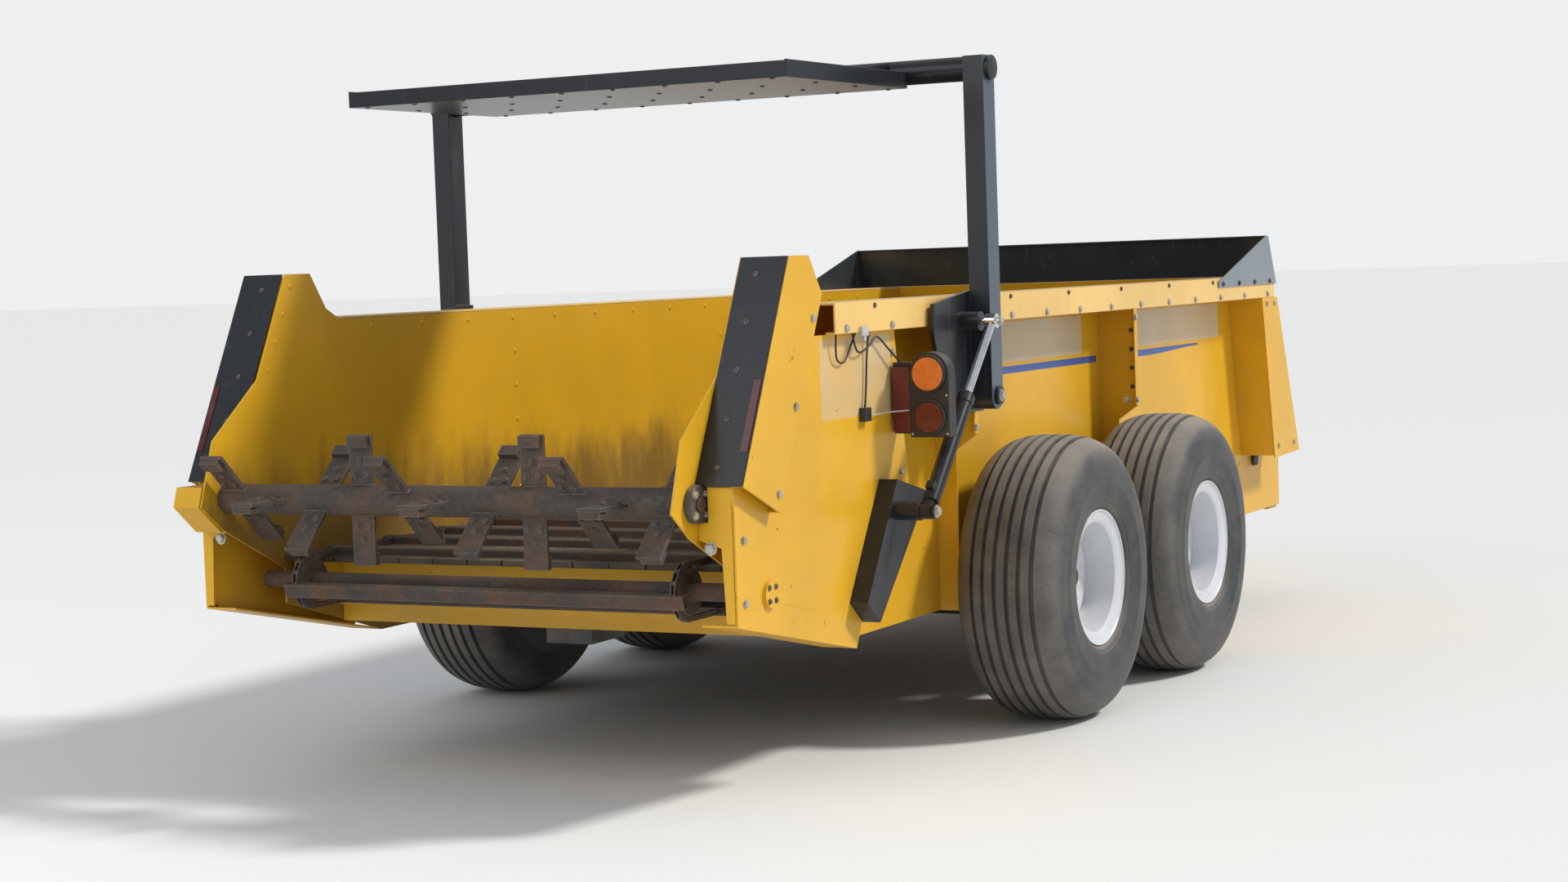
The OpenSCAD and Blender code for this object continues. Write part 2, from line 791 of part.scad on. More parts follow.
// Pair of paddles across the shaft, with angled tips
module paddle_pair(r) {
    for (turn = [0, 180])
        rotate([0, turn, 0]) translate([0, -paddle_w / 2, 0]) {
            block([beater_tube_r - 8, 0, -paddle_t / 2], [r, paddle_w, paddle_t / 2]);
            block([r - 42, 8, 0], [r - 2, paddle_w - 8, 30]);
        }
}

module beater() {
    pitch = 2 * (paddle_half - paddle_w / 2) / (paddle_stations - 1);
    middle = (paddle_stations - 1) / 2;
    placed() translate([beater_x, 0, beater_z]) color(dark_steel) {
        bar_y(0, 0, beater_tube_r, -beater_half, beater_half);
        bar_y(0, 0, journal_r, -y_sheet - bearing_t - 6, y_sheet + bearing_t + 6);
        for (i = [0 : paddle_stations - 1])
            translate([0, (i - middle) * pitch, 0]) rotate([0, (i - middle) * 45, 0]) paddle_pair(beater_r);
    }
}

module beater_bearings() {
    placed() color(dark_steel) for (side = [-1, 1])
        on_side(side) difference() {
            bar_y(beater_x, beater_z, bearing_r, y_sheet + seat, y_sheet + seat + bearing_t);
            bar_y(beater_x, beater_z, journal_r + run_fit, y_sheet, y_sheet + bearing_t + 2);
        }
}

// Cover over the end of the beater's drive on the left side
module drive_shield() {
    depth = 110;
    back = keel_rear_x - 6 - seat;
    placed() color(paint) difference() {
        plate_xz([
            [back - 4, shield_top_z], [back - 4, shield_low_z], [post_rear_x - chin_out, shield_low_z],
            [post_rear_x - nose_out - 6, nose_z], [post_rear_x - nose_out + 16, shield_top_z]
        ], y_sheet + seat, y_sheet + depth);
        plate_xz([
            [back - 4 - shield_t, shield_top_z - 6], [back - 4 - shield_t, shield_low_z + 6],
            [post_rear_x - chin_out + 3, shield_low_z + 6],
            [post_rear_x - nose_out + 1, nose_z + 1], [post_rear_x - nose_out + 21, shield_top_z - 6]
        ], y_sheet - 1, y_sheet + depth - shield_t);
        bar_y(beater_x, beater_z, bearing_r + 2, y_sheet - 1, y_sheet + bearing_t + 12);
    }
}

// Apron

// Place and direction of the apron's loop at a distance along it
function loop_at(s) =
    s < run_len ? [apron_rear_x + s, shaft_z + chain_r, 0] :
    s < run_len + PI * chain_r ? loop_end(apron_front_x, 0, s - run_len) :
    s < 2 * run_len + PI * chain_r ? [apron_front_x - (s - run_len - PI * chain_r), shaft_z - chain_r, 180] :
    loop_end(apron_rear_x, 180, s - 2 * run_len - PI * chain_r);
function loop_end(x, turn, s) =
    let (a = turn + s / chain_r * 180 / PI)
    [x + chain_r * sin(a), shaft_z + chain_r * cos(a), a];

// Closed band that follows the loop, between two distances from the shafts
module loop_band(r0, r1, y0, y1) {
    difference() {
        union() {
            block([apron_rear_x, y0, shaft_z - r1], [apron_front_x, y1, shaft_z + r1]);
            for (x = [apron_rear_x, apron_front_x])
                bar_y(x, shaft_z, r1, y0, y1);
        }
        block([apron_rear_x, y0 - 1, shaft_z - r0], [apron_front_x, y1 + 1, shaft_z + r0]);
        for (x = [apron_rear_x, apron_front_x])
            bar_y(x, shaft_z, r0, y0 - 1, y1 + 1);
    }
}

// Chain of one side, parted between two links at each end of a run
module apron_chain() {
    part_in = 60;
    difference() {
        loop_band(chain_r - chain_h / 2, chain_r + chain_h / 2, chain_gauge / 2 - chain_w / 2, chain_gauge / 2 + chain_w / 2);
        for (x = [apron_rear_x + part_in, apron_front_x - part_in])
            block([x, 0, shaft_z - 2 * chain_r], [x + seat, y_in, shaft_z + 2 * chain_r]);
    }
}

// Slat that straddles both chains, with a notch over each
module apron_slat() {
    notch_in = chain_gauge / 2 - chain_w / 2 - seat;
    notch_out = chain_gauge / 2 + chain_w / 2 + seat;
    difference() {
        block([-slat_w / 2, -slat_half, -chain_h / 2], [slat_w / 2, slat_half, slat_t / 2]);
        for (side = [-1, 1])
            on_side(side)
                block([-slat_w, notch_in, -chain_h], [slat_w, notch_out, chain_h / 2 + seat]);
    }
}

module apron() {
    placed() color(dark_steel) {
        for (side = [-1, 1])
            on_side(side) apron_chain();
        for (i = [0 : slat_count - 1]) {
            p = loop_at((i + 0.5) * loop_len / slat_count);
            translate([p[0], 0, p[1]]) rotate([0, p[2], 0]) apron_slat();
        }
    }
}

module apron_shafts() {
    placed() color(dark_steel) for (x = [apron_rear_x, apron_front_x]) {
        bar_y(x, shaft_z, apron_shaft_r, -y_sheet - 20, y_sheet + 20);
        for (side = [-1, 1])
            on_side(side) bar_y(x, shaft_z, sprocket_r, chain_gauge / 2 - 12, chain_gauge / 2 + 12);
    }
}

// Drawbar, hitch and jack

module drawbar() {
    half = beam_spread / 2;
    placed() color(paint) difference() {
        union() {
            block([head_x, -sill_out, head_z], [head_x + head_w, sill_out, head_z + head_h]);
            for (side = [-1, 1])
                on_side(side) translate([0, 0, beam_z]) linear_extrude(beam_h) polygon([
                    [head_x + head_w - 1, half - beam_w], [head_x + head_w - 1, half + 20],
                    [tongue_x + 60, tongue_w / 2], [tongue_x, 4]
                ]);
            block([tongue_x - 40, -tongue_w / 2, beam_z], [hitch_x - ear_r - 20, tongue_w / 2, beam_z + beam_h]);
            for (z = [hitch_z - ear_gap / 2 - ear_t, hitch_z + ear_gap / 2]) {
                block([hitch_x - ear_r - 140, -ear_r, z], [hitch_x, ear_r, z + ear_t]);
                translate([hitch_x, 0, z]) cylinder(r = ear_r, h = ear_t);
            }
        }
        translate([hitch_x, 0, 0]) cylinder(d = hitch_bore_d, h = 2 * hitch_z);
    }
}

module jack_tube() {
    half = jack_w / 2;
    inner = half - jack_wall;
    top = jack_tube_z + jack_tube_h;
    placed() translate([jack_x, jack_y, 0]) color(black_paint) {
        difference() {
            block([-half, -half, jack_tube_z], [half, half, top]);
            block([-inner, -inner, jack_tube_z - 1], [inner, inner, top - 12]);
        }
        block([-60, -jack_y + tongue_w / 2 + seat, hitch_z - 50], [60, -half + 1, hitch_z + 50]);
        translate([0, 0, top - 1]) cylinder(r = 26, h = 34);
        translate([0, 0, top + 12]) rotate([-90, 0, 0]) cylinder(r = 9, h = 110);
        translate([0, 100, top + 12]) rotate([0, 90, 0]) cylinder(r = 8, h = 150);
        translate([140, 94, top + 12]) rotate([-90, 0, 0]) cylinder(r = 13, h = 90);
    }
}

module jack_leg() {
    half = leg_w / 2;
    top = jack_tube_z + jack_tube_h - 12 - jack_travel - move_gap;
    placed() translate([jack_x, jack_y, 0]) color(bare_steel) {
        block([-half, -half, foot_t - 1], [half, half, top]);
        block([-foot_w / 2, -foot_w / 2, 0], [foot_w / 2, foot_w / 2, foot_t]);
    }
}

// Drive line

module pto_shaft() {
    yoke_len = 110;
    placed() color(bare_steel) difference() {
        union() {
            bar_x(0, pto_z, shaft_r, pto_x - pto_len - 40, pto_x - 60);
            bar_x(0, pto_z, 34, pto_x - 90, pto_x);
            bar_x(0, pto_z, 40, pto_x - 40, pto_x - 14);
            bar_x(0, pto_z, 34, pto_x - pto_len + move_gap, pto_x - pto_len + yoke_len);
        }
        bar_x(0, pto_z, yoke_bore_r, pto_x - 70, pto_x + 1);
    }
}

module pto_guard() {
    x0 = pto_x - pto_len + 150;
    x1 = pto_x - 130;
    placed() color(rubber) difference() {
        union() {
            bar_x(0, pto_z, guard_r, x0, x1);
            bar_x(0, pto_z, guard_r + 22, x1 - 40, x1);
            bar_x(0, pto_z, guard_r + 22, x0, x0 + 40);
            // Stand on the tongue that carries the parked shaft
            block([jack_x - 150, -16, beam_z + beam_h + seat], [jack_x - 110, 16, pto_z - guard_r + 8]);
        }
        bar_x(0, pto_z, guard_r - 5, x0 - 1, x1 + 1);
    }
}

module line_shaft() {
    placed() color(black_paint)
        bar_x(0, line_z, line_r, rear_beam_x + rear_beam_w + gearbox_w + seat, head_x - seat);
}

module gearboxes() {
    half = gearbox_w / 2;
    x_rear = rear_beam_x + rear_beam_w + seat;
    x_front = head_x + head_w + seat;
    placed() color(dark_steel) {
        block([x_rear, -half + 20, line_z - 80], [x_rear + gearbox_w, half - 20, line_z + 76]);
        bar_y(x_rear + gearbox_w / 2, line_z, 30, half - 21, y_in - seat);
        // Front gearbox, from the drawbar's head beam up to the shaft
        difference() {
            block([x_front, -half + 20, hitch_z - 40], [pto_x - pto_len, half - 20, pto_z + 80]);
            bar_x(0, pto_z, shaft_r + run_fit, pto_x - pto_len - 45, pto_x - pto_len + 1);
        }
    }
}

// Lamps

module lamp_housings() {
    y0 = lamp_in + marker_w + 2;
    y1 = lamp_in + marker_w + 2 + lamp_w;
    top = lamp_z + lamp_h - lamp_w / 2;
    placed() color(black_paint) for (side = [-1, 1])
        on_side(side) {
            block([lamp_x, y0, lamp_z], [lamp_x + lamp_t, y1, top]);
            bar_x(y0 + lamp_w / 2, top, lamp_w / 2, lamp_x, lamp_x + lamp_t);
            block([lamp_x + 18, lamp_in, lamp_z + 12], [lamp_x + lamp_t, y0 + 1, top + 40]);
            block([lamp_x + lamp_t - 8, y_plate + seat, lamp_z + 60], [lamp_x + lamp_t, lamp_in + 1, top]);
        }
}

module lamp_lenses_amber() {
    placed() color("#E8842A") for (side = [-1, 1])
        on_side(side) bar_x(lamp_in + marker_w + 2 + lamp_w / 2, lamp_z + lamp_h - lamp_w / 2, 58,
            lamp_x - seat - 14, lamp_x - seat);
}

module lamp_lenses_red() {
    y0 = lamp_in + marker_w + 2;
    placed() color("#7A1420") for (side = [-1, 1])
        on_side(side) {
            bar_x(y0 + lamp_w / 2, lamp_z + 70, 54, lamp_x - seat - 14, lamp_x - seat);
            block([lamp_x + 4, lamp_in + 4, lamp_z + 18], [lamp_x + 18 - seat, y0 - seat, lamp_z + lamp_h - 50]);
        }
}

tyre(1, 1);  // tyre_front_left
tyre(-1, 1);  // tyre_rear_left
tyre(1, -1);  // tyre_front_right
tyre(-1, -1);  // tyre_rear_right
rim(1, 1);  // rim_front_left
rim(-1, 1);  // rim_rear_left
rim(1, -1);  // rim_front_right
rim(-1, -1);  // rim_rear_right
axle();
tandem_beam(1);  // tandem_beam_left
tandem_beam(-1);  // tandem_beam_right
side_sheet(1);  // side_sheet_left
side_sheet(-1);  // side_sheet_right
top_rail(1);  // top_rail_left
top_rail(-1);  // top_rail_right
stakes(1);  // stakes_left
stakes(-1);  // stakes_right
front_wall();
front_extension();
floor_deck();
frame_sills();
cross_members();
return_guides();
rear_beam();
side_plate(1);  // side_plate_left
side_plate(-1);  // side_plate_right
rear_post(1);  // rear_post_left
rear_post(-1);  // rear_post_right
rear_strips();
rear_gussets();
arm_bracket(1);  // arm_bracket_left
arm_bracket(-1);  // arm_bracket_right
cylinder_bracket(1);  // cylinder_bracket_left
cylinder_bracket(-1);  // cylinder_bracket_right
lift_arm(1);  // lift_arm_left
lift_arm(-1);  // lift_arm_right
cross_tube();
gate_panel();
barrel(1);  // barrel_left
barrel(-1);  // barrel_right
rod(1);  // rod_left
rod(-1);  // rod_right
beater();
beater_bearings();
drive_shield();
apron();
apron_shafts();
line_shaft();
gearboxes();
drawbar();
jack_tube();
jack_leg();
pto_shaft();
pto_guard();
lamp_housings();
lamp_lenses_amber();
lamp_lenses_red();
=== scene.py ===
"""Looks of a tandem-axle box spreader: paint, tyres, rims, bolts, chains and lamps."""
import json
import math

import bmesh
import bpy
from mathutils import Matrix, Vector


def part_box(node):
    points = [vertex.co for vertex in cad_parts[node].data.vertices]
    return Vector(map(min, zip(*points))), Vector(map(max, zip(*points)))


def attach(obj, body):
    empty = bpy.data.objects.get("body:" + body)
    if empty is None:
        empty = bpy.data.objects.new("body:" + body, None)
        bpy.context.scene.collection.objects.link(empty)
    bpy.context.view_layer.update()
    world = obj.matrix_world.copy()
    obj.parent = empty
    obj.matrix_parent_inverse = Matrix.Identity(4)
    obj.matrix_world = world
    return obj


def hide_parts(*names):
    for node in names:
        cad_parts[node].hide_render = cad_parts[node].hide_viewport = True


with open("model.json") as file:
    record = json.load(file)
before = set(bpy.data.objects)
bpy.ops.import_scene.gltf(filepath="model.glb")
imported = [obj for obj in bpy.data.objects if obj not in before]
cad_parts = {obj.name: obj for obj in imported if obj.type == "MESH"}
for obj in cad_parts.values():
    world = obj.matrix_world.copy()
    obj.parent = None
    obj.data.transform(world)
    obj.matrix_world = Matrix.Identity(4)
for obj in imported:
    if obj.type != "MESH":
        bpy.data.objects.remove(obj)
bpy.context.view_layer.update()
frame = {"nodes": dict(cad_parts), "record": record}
NODES = frame["nodes"]

# Middle of the tandem in the frame's X. All sizes and places are in metres
TANDEM_X = -0.889
SIDES = {"left": 1, "right": -1}


def along(x):
    """Place along the machine, given from the tandem's middle."""
    return TANDEM_X + x


# Side sheets, rear plates and rails, by their outer faces
INSIDE_Y, SHEET_Y, PLATE_Y, RAIL_Y = 0.922, 0.930, 1.060, 1.100
RAIL_LOW, RAIL_TOP = 1.520, 1.625
STAKES = (-1.0, 0.703)
WALL_LEAN = math.radians(22)
POST_LEAN = math.radians(26.6)
# Wheels
WHEEL_Y, WHEEL_Z = 1.240, 0.540
AXLE_STEP = 0.620
# Beater, endgate and lamps
BEATER_X, BEATER_Z = -2.820, 1.020
LIFT_X, LIFT_Z = -1.050, 1.255
GATE_Z = 2.445
TUBE_X = along(LIFT_X)
LAMP_FACE, LAMP_Y = along(-1.660), 1.215
# Apron loop: its shafts, its radius and its chains
APRON_REAR, APRON_FRONT = along(-2.580), along(2.770)
APRON_Z, APRON_R = 0.7123, 0.090
APRON_RUN = APRON_FRONT - APRON_REAR
APRON_LOOP = 2 * APRON_RUN + 2 * math.pi * APRON_R
CHAINS_Y = (-0.760, 0.760)
# Drive from the hitch to the rear
GEAR_FACE = along(3.330)
DRIVE_Z, LINE_Z = 0.700, 0.528

# Node helpers


def rgb(red, green, blue):
    return (red, green, blue, 1.0)


def feed(tree, node, **inputs):
    """Sets or links inputs by name, or by place as i0, i1 and so on."""
    for key, value in inputs.items():
        by_place = key[0] == "i" and key[1:].isdigit()
        socket = node.inputs[int(key[1:])] if by_place else node.inputs[key.replace("_", " ")]
        if isinstance(value, bpy.types.NodeSocket):
            tree.links.new(value, socket)
        else:
            socket.default_value = value


def add(tree, kind, _settings=None, **inputs):
    """A node with its settings and its inputs."""
    node = tree.nodes.new(kind)
    for key, value in (_settings or {}).items():
        setattr(node, key, value)
    feed(tree, node, **inputs)
    return node


def maths(tree, operation, a, b=0.0, clamp=False):
    """Result of a Math node."""
    return add(tree, "ShaderNodeMath", {"operation": operation, "use_clamp": clamp}, i0=a, i1=b).outputs[0]


def times(tree, product, *factors):
    """Product of two or more values."""
    for factor in factors:
        product = maths(tree, "MULTIPLY", product, factor)
    return product


def plus(tree, a, b, clamp=False):
    return maths(tree, "ADD", a, b, clamp)


def remap(tree, value, low, high, to_low=0.0, to_high=1.0):
    """Value moved smoothly from one range to another, without going past its ends."""
    return add(tree, "ShaderNodeMapRange", {"interpolation_type": "SMOOTHSTEP"},
               i0=value, i1=low, i2=high, i3=to_low, i4=to_high).outputs[0]


def band(tree, value, low, high, soft=0.004):
    """1 between two places, 0 outside."""
    return times(tree, remap(tree, value, low - soft, low), remap(tree, value, high + soft, high))


def mix(tree, factor, a, b):
    """Colour between a and b."""
    return add(tree, "ShaderNodeMix", {"data_type": "RGBA"}, i0=factor, i6=a, i7=b).outputs[2]


def noise(tree, vector, scale, detail=3.0, roughness=0.55):
    """Grey noise over the surface."""
    return add(tree, "ShaderNodeTexNoise", None,
               Vector=vector, Scale=scale, Detail=detail, Roughness=roughness).outputs[0]


def object_place(tree):
    return add(tree, "ShaderNodeTexCoord").outputs["Object"]


def surface_normal(tree):
    return add(tree, "ShaderNodeNewGeometry").outputs["Normal"]


def parts(tree, vector):
    """X, Y and Z of a vector."""
    return add(tree, "ShaderNodeSeparateXYZ", None, i0=vector).outputs


def stretched(tree, vector, scale):
    return add(tree, "ShaderNodeMapping", None, Vector=vector, Scale=scale).outputs[0]


def bump(tree, height, strength, distance):
    return add(tree, "ShaderNodeBump", None, Strength=strength, Distance=distance, Height=height).outputs[0]


# Shared effects


def new_group(name, sockets_in, sockets_out):
    """Empty shader group with named inputs and their defaults: (tree, inputs, output node)."""
    tree = bpy.data.node_groups.new(name, "ShaderNodeTree")
    for label, default in sockets_in.items():
        kind = "NodeSocketFloat" if isinstance(default, float) else "NodeSocketColor"
        tree.interface.new_socket(label, in_out="INPUT", socket_type=kind).default_value = default
    for label in sockets_out:
        kind = "NodeSocketColor" if label == "Colour" else "NodeSocketFloat"
        tree.interface.new_socket(label, in_out="OUTPUT", socket_type=kind)
    return tree, tree.nodes.new("NodeGroupInput").outputs, tree.nodes.new("NodeGroupOutput")


def place_group(tree, group, **inputs):
    """A shared effect with its own values."""
    return add(tree, "ShaderNodeGroup", {"node_tree": group}, **inputs)


def edge_wear_group():
    """1 along outer edges and 0 on flat faces."""
    tree, given, out = new_group("edge_wear", {"Radius": 0.006, "Flat": 0.985, "Sharp": 0.90}, ("Mask",))
    rounded = add(tree, "ShaderNodeBevel", {"samples": 3}, Radius=given["Radius"]).outputs[0]
    bend = add(tree, "ShaderNodeVectorMath", {"operation": "DOT_PRODUCT"},
               i0=rounded, i1=surface_normal(tree))
    feed(tree, out, Mask=remap(tree, bend.outputs["Value"], given["Flat"], given["Sharp"]))
    return tree


def road_grime_group():
    """Dust on flat and low places, streaks below edges, splashes at the rear and worn edges."""
    tree, given, out = new_group("road_grime", {
        "Colour": rgb(0.5, 0.5, 0.5), "Dust colour": rgb(0.42, 0.34, 0.24),
        "Splash colour": rgb(0.055, 0.035, 0.02), "Worn colour": rgb(0.3, 0.25, 0.2),
        "Dust": 0.5, "Splash": 0.3, "Wear": 0.4, "Gloss roughness": 0.35, "Edge": 0.0},
        ("Colour", "Roughness", "Height"))
    where = object_place(tree)
    x, _, z = parts(tree, where)

    # Patches where the paint has faded a little
    shade = remap(tree, noise(tree, where, 1.7, 4.0, 0.6), 0.3, 0.75, 0.90, 1.06)
    tone = add(tree, "ShaderNodeVectorMath", {"operation": "SCALE"}, i0=given["Colour"], i3=shade).outputs[0]

    # Dust lies on upward faces and thickens towards the ground
    low = remap(tree, z, 1.5, 0.35, 0.15, 1.0)
    up = remap(tree, parts(tree, surface_normal(tree))[2], 0.35, 0.95)
    clouds = remap(tree, noise(tree, where, 3.6, 6.0, 0.62), 0.36, 0.74)
    fine = remap(tree, noise(tree, where, 46.0, 3.0, 0.7), 0.3, 0.8, 0.35, 1.0)
    lying = times(tree, maths(tree, "MAXIMUM", times(tree, low, clouds), times(tree, up, 0.85)), fine)
    streaks = noise(tree, stretched(tree, where, (9.0, 9.0, 0.9)), 2.4, 4.0, 0.6)
    streaks = remap(tree, streaks, 0.58, 0.74, 0.0, 0.45)
    film = maths(tree, "MULTIPLY", plus(tree, lying, streaks, clamp=True), given["Dust"], clamp=True)
    dusty = mix(tree, film, tone, given["Dust colour"])

    # Splashes, most of them near the rear end
    rear = remap(tree, x, -1.6, -3.4, 0.12, 1.0)
    limit = remap(tree, times(tree, rear, given["Splash"]), 0.0, 1.0, 0.74, 0.50)
    blots = remap(tree, maths(tree, "SUBTRACT", noise(tree, where, 13.0, 7.0, 0.72), limit), 0.0, 0.035)
    soiled = mix(tree, times(tree, blots, 0.85), dusty, given["Splash colour"])

    # Paint rubbed off along the edges
    chips = remap(tree, noise(tree, where, 24.0, 5.0, 0.7), 0.50, 0.62)
    worn = maths(tree, "MULTIPLY", times(tree, given["Edge"], chips), given["Wear"], clamp=True)

    rough = plus(tree, given["Gloss roughness"], times(tree, film, 0.45))
    ripple = noise(tree, where, 5.0, 2.0, 0.5)
    grain = times(tree, noise(tree, where, 180.0, 2.0, 0.6), 0.05)
    feed(tree, out, Colour=mix(tree, worn, soiled, given["Worn colour"]),
         Roughness=plus(tree, rough, times(tree, blots, 0.3), clamp=True),
         Height=plus(tree, times(tree, blots, 0.35), plus(tree, ripple, grain)))
    return tree


def rust_and_polish_group():
    """Rust in patches, and bare metal along the rubbed edges."""
    tree, given, out = new_group("rust_and_polish", {
        "Colour": rgb(0.05, 0.045, 0.04), "Rust colour": rgb(0.12, 0.06, 0.03), "Polish": 0.8, "Edge": 0.0},
        ("Colour", "Roughness", "Metallic", "Height"))
    where = object_place(tree)
    patches = remap(tree, noise(tree, where, 7.0, 6.0, 0.66), 0.38, 0.66)
    fine = remap(tree, noise(tree, where, 60.0, 4.0, 0.7), 0.35, 0.7)
    rusty = mix(tree, times(tree, patches, 0.8), given["Colour"], given["Rust colour"])
    shine = maths(tree, "MULTIPLY", given["Edge"], times(tree, fine, given["Polish"]), clamp=True)
    feed(tree, out, Colour=mix(tree, shine, rusty, rgb(0.42, 0.38, 0.34)),
         Roughness=remap(tree, fine, 0.0, 1.0, 0.55, 0.85), Metallic=times(tree, shine, 0.8),
         Height=plus(tree, patches, times(tree, fine, 0.5)))
    return tree


def rubbed_steel_group():
    """Fine marks up and down bare steel, with grime in patches."""
    tree, given, out = new_group("rubbed_steel", {"Colour": rgb(0.5, 0.5, 0.5), "Gloss roughness": 0.3},
                                 ("Colour", "Roughness", "Height"))
    where = object_place(tree)
    marks = noise(tree, stretched(tree, where, (1.0, 1.0, 14.0)), 40.0, 4.0, 0.65)
    grimy = remap(tree, noise(tree, where, 9.0, 5.0, 0.6), 0.48, 0.72, 0.0, 0.5)
    low, high = (times(tree, given["Gloss roughness"], share) for share in (0.8, 1.5))
    feed(tree, out, Colour=mix(tree, grimy, given["Colour"], rgb(0.10, 0.07, 0.045)),
         Roughness=remap(tree, marks, 0.3, 0.7, low, high), Height=marks)
    return tree


def ribbed_lens_group():
    """Fine moulded ribs with dirt on them."""
    tree, given, out = new_group("ribbed_lens", {"Colour": rgb(0.5, 0.1, 0.02)},
                                 ("Colour", "Roughness", "Height"))
    where = object_place(tree)
    dirt = remap(tree, noise(tree, where, 22.0, 5.0, 0.65), 0.45, 0.75, 0.0, 0.5)
    feed(tree, out, Colour=mix(tree, dirt, given["Colour"], rgb(0.08, 0.05, 0.035)),
         Roughness=remap(tree, dirt, 0.0, 0.5, 0.10, 0.45),
         Height=maths(tree, "SINE", times(tree, parts(tree, where)[2], 900.0)))
    return tree


def outer_sky_sheen_group():
    """Colour with a painted blue-grey sky reflection on the faces farthest from the middle."""
    tree, given, out = new_group("outer_sky_sheen", {
        "Colour": rgb(0.02, 0.02, 0.02), "Faded colour": rgb(0.2, 0.2, 0.2), "Starts": 1.0, "Full": 1.1},
        ("Colour",))
    aside = maths(tree, "ABSOLUTE", parts(tree, object_place(tree))[1])
    outer = remap(tree, aside, given["Starts"], given["Full"])
    feed(tree, out, Colour=mix(tree, outer, given["Colour"], given["Faded colour"]))
    return tree


EDGE_WEAR = edge_wear_group()
ROAD_GRIME = road_grime_group()
RUST_AND_POLISH = rust_and_polish_group()
RUBBED_STEEL = rubbed_steel_group()
RIBBED_LENS = ribbed_lens_group()
OUTER_SKY_SHEEN = outer_sky_sheen_group()

# Materials

YELLOW = rgb(0.77, 0.420, 0.018)


def new_material(name):
    """Material with one Principled shader: (material, tree, shader)."""
    material = bpy.data.materials.new(name)
    material.use_nodes = True
    tree = material.node_tree
    tree.nodes.clear()
    shader = add(tree, "ShaderNodeBsdfPrincipled")
    add(tree, "ShaderNodeOutputMaterial", None, Surface=shader.outputs[0])
    return material, tree, shader


def finish_with(tree, shader, effect, strength, distance):
    """Feeds a shader the colour, roughness and height that an effect puts out."""
    feed(tree, shader, Base_Color=effect.outputs["Colour"], Roughness=effect.outputs["Roughness"],
         Normal=bump(tree, effect.outputs["Height"], strength, distance))


def use_grime(tree, shader, colour, dust, splash, wear, rough, dents=0.12, worn_colour=rgb(0.30, 0.24, 0.17)):
    """Feeds a shader through the grime and edge wear effects."""
    edge = place_group(tree, EDGE_WEAR, Radius=0.006, Flat=0.985, Sharp=0.90)
    grime = place_group(tree, ROAD_GRIME, Colour=colour, Worn_colour=worn_colour, Dust=dust, Splash=splash,
                        Wear=wear, Gloss_roughness=rough, Edge=edge.outputs["Mask"])
    finish_with(tree, shader, grime, dents, 0.012)


def use_gloss(tree, shader, coat):
    """Clear coat of a painted sheet."""
    feed(tree, shader, Coat_Weight=coat, Coat_Roughness=0.12, Specular_IOR_Level=0.30)


def paint(name, colour, coat, **grime):
    """Painted steel with road grime on it."""
    material, tree, shader = new_material(name)
    use_grime(tree, shader, colour, **grime)
    use_gloss(tree, shader, coat)
    return material


def side_sheet_paint():
    """Yellow sheet with a faded pale band and a blue line below it between the stakes."""
    material, tree, shader = new_material("side_sheet_yellow")
    where = object_place(tree)
    x, y, z = parts(tree, where)
    aside = maths(tree, "ABSOLUTE", y)
    outer = remap(tree, aside, 0.926, 0.9285)
    # The pale band ends before each stake and starts again after it
    bays = plus(tree, band(tree, x, along(-0.93), along(0.50)),
                band(tree, x, along(1.02), along(2.28)), clamp=True)
    pale = times(tree, bays, outer, band(tree, z, 1.345, 1.500))
    fade = remap(tree, noise(tree, where, 4.0, 4.0), 0.3, 0.7, 0.68, 0.92)
    tone = mix(tree, times(tree, pale, fade), YELLOW, rgb(0.68, 0.585, 0.42))
    # The line thins out to a point at its front end
    reach = plus(tree, band(tree, x, along(-0.93), along(0.665)),
                 band(tree, x, along(0.76), along(1.98)), clamp=True)
    line_low = remap(tree, x, along(1.3), along(1.98), 1.298, 1.316)
    above = remap(tree, maths(tree, "SUBTRACT", z, line_low), -0.002, 0.002)
    line = times(tree, above, remap(tree, z, 1.329, 1.325), reach, outer)
    tone = mix(tree, line, tone, rgb(0.035, 0.10, 0.33))
    # Stains on the inner face, most of all near the floor
    inner = remap(tree, aside, 0.9238, 0.9226)
    runs = noise(tree, stretched(tree, where, (1.6, 1.0, 0.55)), 5.0, 7.0, 0.62)
    stain = remap(tree, plus(tree, remap(tree, z, 1.42, 0.80, -0.35, 0.55), runs), 0.45, 1.05)
    tone = mix(tree, times(tree, stain, inner, 0.72), tone, rgb(0.105, 0.066, 0.034))
    use_grime(tree, shader, tone, dust=0.16, splash=0.30, wear=0.3, rough=0.34)
    use_gloss(tree, shader, 0.10)
    return material


def rear_plate_paint():
    """Yellow rear plate with a bare, faded field under the rail."""
    material, tree, shader = new_material("rear_plate_yellow")
    where = object_place(tree)
    x, y, z = parts(tree, where)
    outer = remap(tree, maths(tree, "ABSOLUTE", y), 1.056, 1.0585)
    field = times(tree, band(tree, x, along(-2.17), along(-1.64), 0.01), band(tree, z, 1.24, 1.50, 0.01), outer)
    fade = remap(tree, noise(tree, where, 5.0, 4.0), 0.3, 0.7, 0.52, 0.82)
    tone = mix(tree, times(tree, field, fade), YELLOW, rgb(0.64, 0.52, 0.33))
    use_grime(tree, shader, tone, dust=0.18, splash=0.42, wear=0.3, rough=0.34)
    use_gloss(tree, shader, 0.10)
    return material


